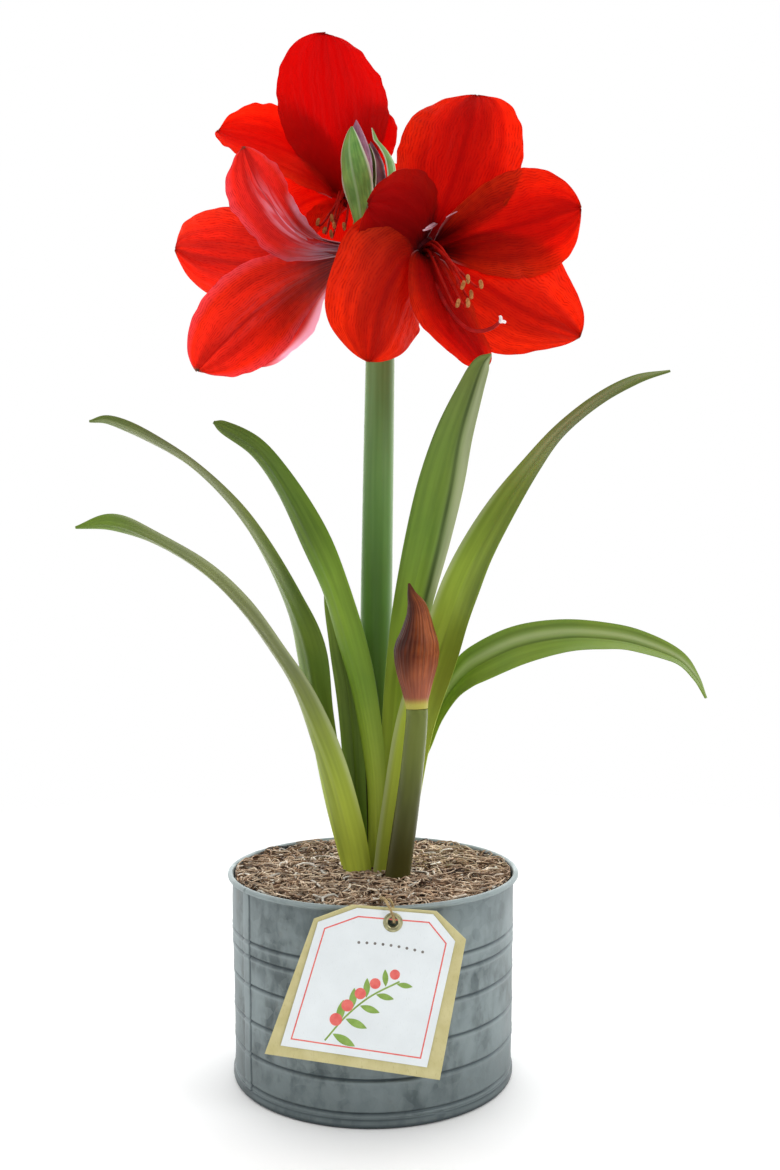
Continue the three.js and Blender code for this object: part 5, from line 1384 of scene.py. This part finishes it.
buds = {
    "bud_a": {
        "base": (-6.9, 8, 504.4), "axis": (-0.055, 0, 0.998), "length": 66, "radius": 8.6,
        "sepals": [{"turn": (92, 128), "width": 23, "reach": 60, "bulge": 0.8},
                   {"turn": (215, 215), "width": 9, "reach": 56, "bulge": 0.6},
                   {"turn": (330, 330), "width": 8, "reach": 52, "bulge": 0.6}],
    },
    "bud_b": {
        "base": (5.7, 23, 519.5), "axis": (-0.175, 0, 0.985), "length": 44, "radius": 5.8,
        "sepals": [{"turn": (20, 40), "width": 11, "reach": 51, "bulge": 4.5},
                   {"turn": (200, 200), "width": 7, "reach": 40, "bulge": 0.6},
                   {"turn": (290, 290), "width": 7, "reach": 40, "bulge": 0.6}],
    },
}
sepalGap, sepalThickness = 0.55, 0.9
bractFoot = (4, 10, 440.3)


def makePedicel(values):
    line, radii = stalkLine(values["path"], values["radii"], 70)
    return tubePart(line, radii, 22, lambda u, angle: 1 + 0.05 * np.cos(3 * angle) * ease(ramp(u, 0.55, 0.8)))


def makeBract(values):
    turn = math.radians(values["turn"])
    outward = np.array([math.cos(turn), math.sin(turn), 0])
    across = np.array([-outward[1], outward[0], 0])
    u, v = np.linspace(0, 1, 36)[:, None], np.linspace(-1, 1, 11)[None, :]
    half = values["width"] / 2 * np.maximum(0.06, (1 - u**2) * (0.5 + 0.5 * ease(u / 0.3)))
    away = 8.0 + values["length"] * u * np.sin(math.radians(values["lean"]) * u) - 0.9 * v**2
    away = away + 0.25 * np.sin(9 * u + 2 * v) * u
    grid = (np.array(bractFoot) + outward * away[..., None] + across * (half * v)[..., None]
            + np.array([0, 0, 1.0]) * (values["length"] * u)[..., None])
    return shellPart(grid, 0.7 - 0.3 * np.abs(v) + 0 * u)


def heartRadius(radius, u):
    belly = 0.36 + 0.64 * ease(np.asarray(u) / 0.5)
    return radius * belly * np.maximum(0, 1 - ramp(u, 0.6, 1) ** 1.6)


def makeHeart(bud):
    # three folded tepals overlap round the closed bud
    u = np.concatenate([np.linspace(0.05, 0.95, 44), [0.975, 0.992]])
    profile = np.stack([np.maximum(heartRadius(bud["radius"], u), 0.25), bud["length"] * u], -1)

    def folds(share, angle):
        turn = (3 * (angle + 1.2 * share) / (2 * math.pi)) % 1.0
        return 0.95 + 0.05 * turn - 0.05 * bump(turn, 0.0, 0.04)

    return turnedPart(profile, 66, bud["base"], bud["axis"], folds)


def makeSepals(bud):
    forward, up, right = flowerFrame(bud["axis"])
    foot = heartRadius(bud["radius"], 0.0) + sepalGap + sepalThickness
    ring = [[foot - 1.4, 0], [foot - 0.6, 0.1], [foot + 0.4, 1.2], [foot + 1, 2.6], [foot * 0.5, 2.9]]
    parts = [turnedPart(ring, 24, bud["base"], bud["axis"])]
    for sepal in bud["sepals"]:
        u = np.linspace(0, 1, 44)[:, None]
        v = np.linspace(-1, 1, 15)[None, :]
        height = 1.2 + (sepal["reach"] - 1.2) * u
        heart = np.maximum(0.8, heartRadius(bud["radius"], np.minimum(1, height / bud["length"])))
        away = heart + sepalGap + sepalThickness / 2 + sepal["bulge"] * np.sin(math.pi * u) + 0.8 * u
        half = sepal["width"] / 2 * np.maximum(0.05, np.sin(math.pi * (0.14 + 0.86 * u)) ** 0.75)
        swing = np.radians(sepal["turn"][0] + (sepal["turn"][1] - sepal["turn"][0]) * u) + half * v / away
        away = away + 0.35 * np.abs(v) ** 3 * np.sin(7 * u + 1.4 * v) + 0.3 * bump(v, 0, 0.1) * (1 - u)
        grid = (np.array(bud["base"]) + forward * height[..., None] + up * (away * np.cos(swing))[..., None]
                + right * (away * np.sin(swing))[..., None])
        parts.append(shellPart(grid, 0.8 - 0.35 * np.abs(v) + 0 * u, {"blade": 1.0}))
    return parts


def makeSepalMaterial():
    material, tree, body, out = startMaterial("sepalSkin", specular=0.4)
    spot = surfaceSpot(tree)
    vein, patch = veinLines(tree, 11.0, 4.0, 0.03, spot), blotches(tree, 0.012, 1.0)
    reach = fromMiddle(tree, separate(tree, spot)[0])
    colour = blend(tree, patch["Blotch"], paint("#68A448"), paint("#9CD066"))
    colour = layer(tree, colour, "#3E6E38", vein["Streaks"], 0.4)
    rib = times(tree, remap(tree, reach, 0.02, 0.12, 0.7, 0.0), mask(tree, "blade"))
    rim = times(tree, remap(tree, reach, 0.8, 0.93), mask(tree, "blade"))
    colour = layer(tree, layer(tree, colour, "#A8CC90", rib), "#EAF0D8", rim, 0.9)
    dress(tree, body, colour, (patch["Grain"], 0.15, 0.38), vein["Lines"], 0.3, 0.0004)
    letLightThrough(tree, body, out, colour, 0.2)
    return material


sepalSkin = makeSepalMaterial()
for stem, values in pedicels.items():
    makePiece("pedicel" + stem.title().replace("_", ""), makePedicel(values), pedicelSkin,
              [f"pedicel_{stem}"])
for leafName, values in bracts.items():
    makePiece("bract" + leafName[6:].title(), makeBract(values), bractSkin, [leafName], crease=60)
for budName, bud in buds.items():
    title = "bud" + budName[4:].upper()
    makePiece(title + "Heart", makeHeart(bud), heartSkin, [budName + "_heart"], crease=60)
    makePiece(title + "Sepals", makeSepals(bud), sepalSkin, [budName + "_sepals"], crease=60)
print("buds and pedicels made")


# Hang tag: a white card with printed lines on a kraft backing, and its metal eyelet.
tag = {
    "lean": -8.5,
    "corner": (-55.4, 43),
    "backing": {"outline": [(0, 0), (92.4, 0), (95.1, 74.5), (77.8, 86.8), (33.6, 83.6), (15, 73.4)],
                "front": -90.4, "back": -89.6},
    "card": {"outline": [(7.6, 5.9), (84.7, 5.9), (89.5, 73), (76.2, 85.2), (36.5, 82.6), (17.4, 72.4)],
             "front": -91.3, "back": -90.7},
    "eyelet": (56, 78),
    "hole": 3.6,
    "printHeight": 0.05,
    "printSink": 0.002,
    "eyeletBack": -88.95,
    "borderInset": 4.0,
    "borderWidth": 0.7,
}


def tagPoint(a, b, y):
    turn = math.radians(-tag["lean"])
    return np.array([tag["corner"][0] + a * math.cos(turn) + b * math.sin(turn), y,
                     tag["corner"][1] - a * math.sin(turn) + b * math.cos(turn)])


def insetOutline(outline, distance):
    # moves each side of a counter-clockwise outline inwards
    corners = np.array(outline, float)
    moved = []
    for k in range(len(corners)):
        before, here, after = corners[k - 1], corners[k], corners[(k + 1) % len(corners)]
        first, second = unit(here - before), unit(after - here)
        n1, n2 = np.array([-first[1], first[0]]), np.array([-second[1], second[0]])
        moved.append(here + distance * (n1 + n2) / (1 + n1 @ n2))
    return [tuple(p) for p in moved]


def circlePoints(centre, radius, count=40):
    turn = np.linspace(0, 2 * math.pi, count, endpoint=False)
    return [(centre[0] + radius * math.cos(t), centre[1] + radius * math.sin(t)) for t in turn]


def flatPlate(name, loops, front, back, finish, stands=(), edge=0.12):
    # a plate with holes, cut from loops on the tag's plane
    shape = bpy.data.curves.new(name, "CURVE")
    shape.dimensions, shape.fill_mode = "2D", "BOTH"
    for loop in loops:
        line = shape.splines.new("POLY")
        line.points.add(len(loop) - 1)
        for spot, (a, b) in zip(line.points, loop):
            spot.co = (a, b, 0, 1)
        line.use_cyclic_u = True
    shape.extrude = abs(back - front) / 2 - edge
    shape.bevel_depth, shape.bevel_resolution, shape.offset = edge, 2 if edge > 0.05 else 0, -edge
    mesh = plainMesh(addObject(name + "Shape", shape))
    welded = bmesh.new()
    welded.from_mesh(mesh)
    bmesh.ops.remove_doubles(welded, verts=welded.verts, dist=1e-5)
    welded.to_mesh(mesh)
    welded.free()
    middle = (front + back) / 2
    for vertex in mesh.vertices:
        vertex.co = Vector(tagPoint(vertex.co.x, vertex.co.y, middle - vertex.co.z) * mm)
    return addPiece(name, mesh, finish, stands)


def leafLoop(foot, tip, width):
    # a pointed leaf outline between two points
    a, b = np.array(foot, float), np.array(tip, float)
    along = unit(b - a)
    side = np.array([-along[1], along[0]])
    share = np.linspace(0, 1, 15)
    bulge = width / 2 * np.sin(math.pi * share) ** 0.9
    right = [tuple(a + (b - a) * s - side * w) for s, w in zip(share, bulge)]
    left = [tuple(a + (b - a) * s + side * w) for s, w in zip(share[1:-1], bulge[1:-1])]
    return right + left[::-1]


def ribbonLoop(path, width):
    line = np.array(path, float)
    along = unit(np.gradient(line, axis=0))
    side = np.stack([-along[:, 1], along[:, 0]], -1) * width / 2
    return [tuple(p) for p in line - side] + [tuple(p) for p in (line + side)[::-1]]


def paperMaterial(name, low, high, fleck, size):
    material, tree, body, _ = startMaterial(name, specular=0.25)
    spot = objectSpot(tree)
    patch = blotches(tree, size, 1.0, spot)
    stretched = put(tree, "ShaderNodeMapping", {
        "Vector": spot, "Scale": (2.2, 1.0, 0.5), "Rotation": (0, 0.4, 0)}).outputs[0]
    threads = noise(tree, stretched, 900.0, 3.0, 0.7)
    colour = blend(tree, patch["Blotch"], paint(low), paint(high))
    colour = layer(tree, colour, fleck, remap(tree, threads, 0.58, 0.72, 0.0, 0.5))
    dress(tree, body, colour, (patch["Grain"], 0.15, 0.68), threads, 0.25, 0.0001)
    return material


def inkMaterial(name, low, high):
    return plainOrganic(name, low, high, 0.004, 0.6, height=0.05)


def makeEyelet():
    profile = [(2.7, 0.0), (3.9, 0.0), (4.05, 0.15), (3.9, 0.42), (3.3, 0.4), (3.3, 2.0), (5.0, 2.0),
               (5.2, 2.25), (5.05, 2.6), (4.5, 2.9), (3.7, 2.95), (3.0, 2.75), (2.7, 2.4)]
    return ringPart(profile, 56, tagPoint(*tag["eyelet"], tag["eyeletBack"]), (0, -1, 0))


def makeEyeletMaterial():
    material, tree, body, _ = startMaterial("eyeletMetal", metallic=0.85)
    patch = blotches(tree, 0.003, 1.2)
    colour = blend(tree, patch["Blotch"], paint("#8C8A66"), paint("#BDB892"))
    dress(tree, body, colour, (patch["Grain"], 0.2, 0.22), patch["Grain"], 0.1, 0.0001)
    return material


def printCard():
    # a fine frame, a plain berry sprig and a row of dots, as ink that stands a hair off the card
    front = tag["card"]["front"] - tag["printHeight"]
    back = tag["card"]["front"] - tag["printSink"]
    red, green, grey = (inkMaterial("inkRed", "#E2605C", "#EE7A70"),
                        inkMaterial("inkGreen", "#7FA044", "#94B45A"),
                        inkMaterial("inkGrey", "#6E6A66", "#86827C"))
    frameLoops = [insetOutline(tag["card"]["outline"], tag["borderInset"] + step)
                  for step in (0, tag["borderWidth"])]
    stem = spline([(30, 12), (39, 26), (50, 38), (64, 48)], np.linspace(0, 1, 40))
    sprig, berries = [], []
    for k, share in enumerate(np.linspace(0.12, 0.95, 9)):
        foot = stem[int(share * 39)]
        lean = math.radians(28 + 24 * share + (52 if k % 2 else -52))
        reach = 15.0 - 6 * share
        tip = foot + reach * np.array([math.cos(lean), math.sin(lean)])
        sprig.append(leafLoop(foot + 0.9 * unit(tip - foot), tip, 4.6 - 1.8 * share))
        if k % 2 == 0:
            spot = foot + 0.52 * reach * np.array([math.cos(lean + 1.75), math.sin(lean + 1.75)])
            berries.append(circlePoints(spot, 3.4 - 0.8 * share, 32))
    dots = [circlePoints((40 + 4.2 * k, 66 - 0.06 * (k - 4) ** 2), 0.75, 18) for k in range(9)]
    for name, loops, proud, ink in (
            ("Frame", frameLoops, 0, red), ("Twig", [ribbonLoop(stem, 0.9)], 0, green),
            ("Leaves", sprig, 0.01, green), ("Berries", berries, 0.02, red), ("Dots", dots, 0, grey)):
        flatPlate("print" + name, loops, front - proud, back, ink, edge=0.0)


kraft = paperMaterial("kraftPaper", "#C4BA84", "#D2CA98", "#A89A68", 0.01)
cardStock = paperMaterial("cardStock", "#E4EAEC", "#ECF2F4", "#D8DEDE", 0.02)
hole = circlePoints(tag["eyelet"], tag["hole"])
for sheet, stock, sheetSlot in (("backing", kraft, "kraft"), ("card", cardStock, "card")):
    flatPlate("tag" + sheet.title(), [tag[sheet]["outline"], hole], tag[sheet]["front"], tag[sheet]["back"],
              stock, ["tag_" + sheet])
printCard()
makePiece("tagEyelet", makeEyelet(), makeEyeletMaterial(), ["tag_eyelet"], crease=40)
print("tag tied on")


# The pieces that keep their CAD meshes: pot base, potting mix and bulb.
def dressNode(node, material):
    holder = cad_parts[node]
    for k in range(max(1, len(holder.material_slots))):
        if not holder.material_slots:
            holder.data.materials.append(material)
        holder.material_slots[k].material = material


def solidMaterial(name, low, high, size, roughness, metallic=0.0, relief=0.5):
    material, tree, body, _ = startMaterial(name, metallic=metallic, specular=0.3)
    patch = blotches(tree, size, 1.4)
    colour = blend(tree, patch["Blotch"], paint(low), paint(high))
    dress(tree, body, colour, (patch["Grain"], 0.2, roughness - 0.1), patch["Grain"], relief, 0.001)
    return material


dressNode("pot_base", solidMaterial("baseMetal", "#5E6A6E", "#8E9A9C", 0.02, 0.5, 0.7, 0.1))
dressNode("potting_mix", solidMaterial("pottingMix", "#1E1610", "#463428", 0.006, 0.95))
dressNode("bulb", solidMaterial("bulbSkin", "#6E3E22", "#A87848", 0.015, 0.6))


# A pale floor under the pot.
def layFloor():
    reach, drop = studio["floorReach"], studio["floorDrop"]
    mesh = bpy.data.meshes.new("floor")
    corners = ((-1, -1), (1, -1), (1, 1), (-1, 1))
    mesh.from_pydata([(x * reach, y * reach, -drop) for x, y in corners], [], [(0, 1, 2, 3)])
    floor = addObject("floor", mesh)
    # the floor fades out before its edge, so that no horizon shows
    material, tree, body, _ = startMaterial("paleFloor", specular=0.2)
    spot = objectSpot(tree)
    patch = blotches(tree, 0.3, 0.6, spot)
    far = vectorMath(tree, "LENGTH", spot)["Value"]
    plug(tree, body.inputs["Alpha"], fade(tree, far, *studio["floorFade"]))
    colour = blend(tree, patch["Blotch"], paint("#FBFBFB"), paint("#FEFEFE"))
    dress(tree, body, colour, (patch["Grain"], 0.1, 0.7))
    mesh.materials.append(material)


layFloor()
print("floor laid")
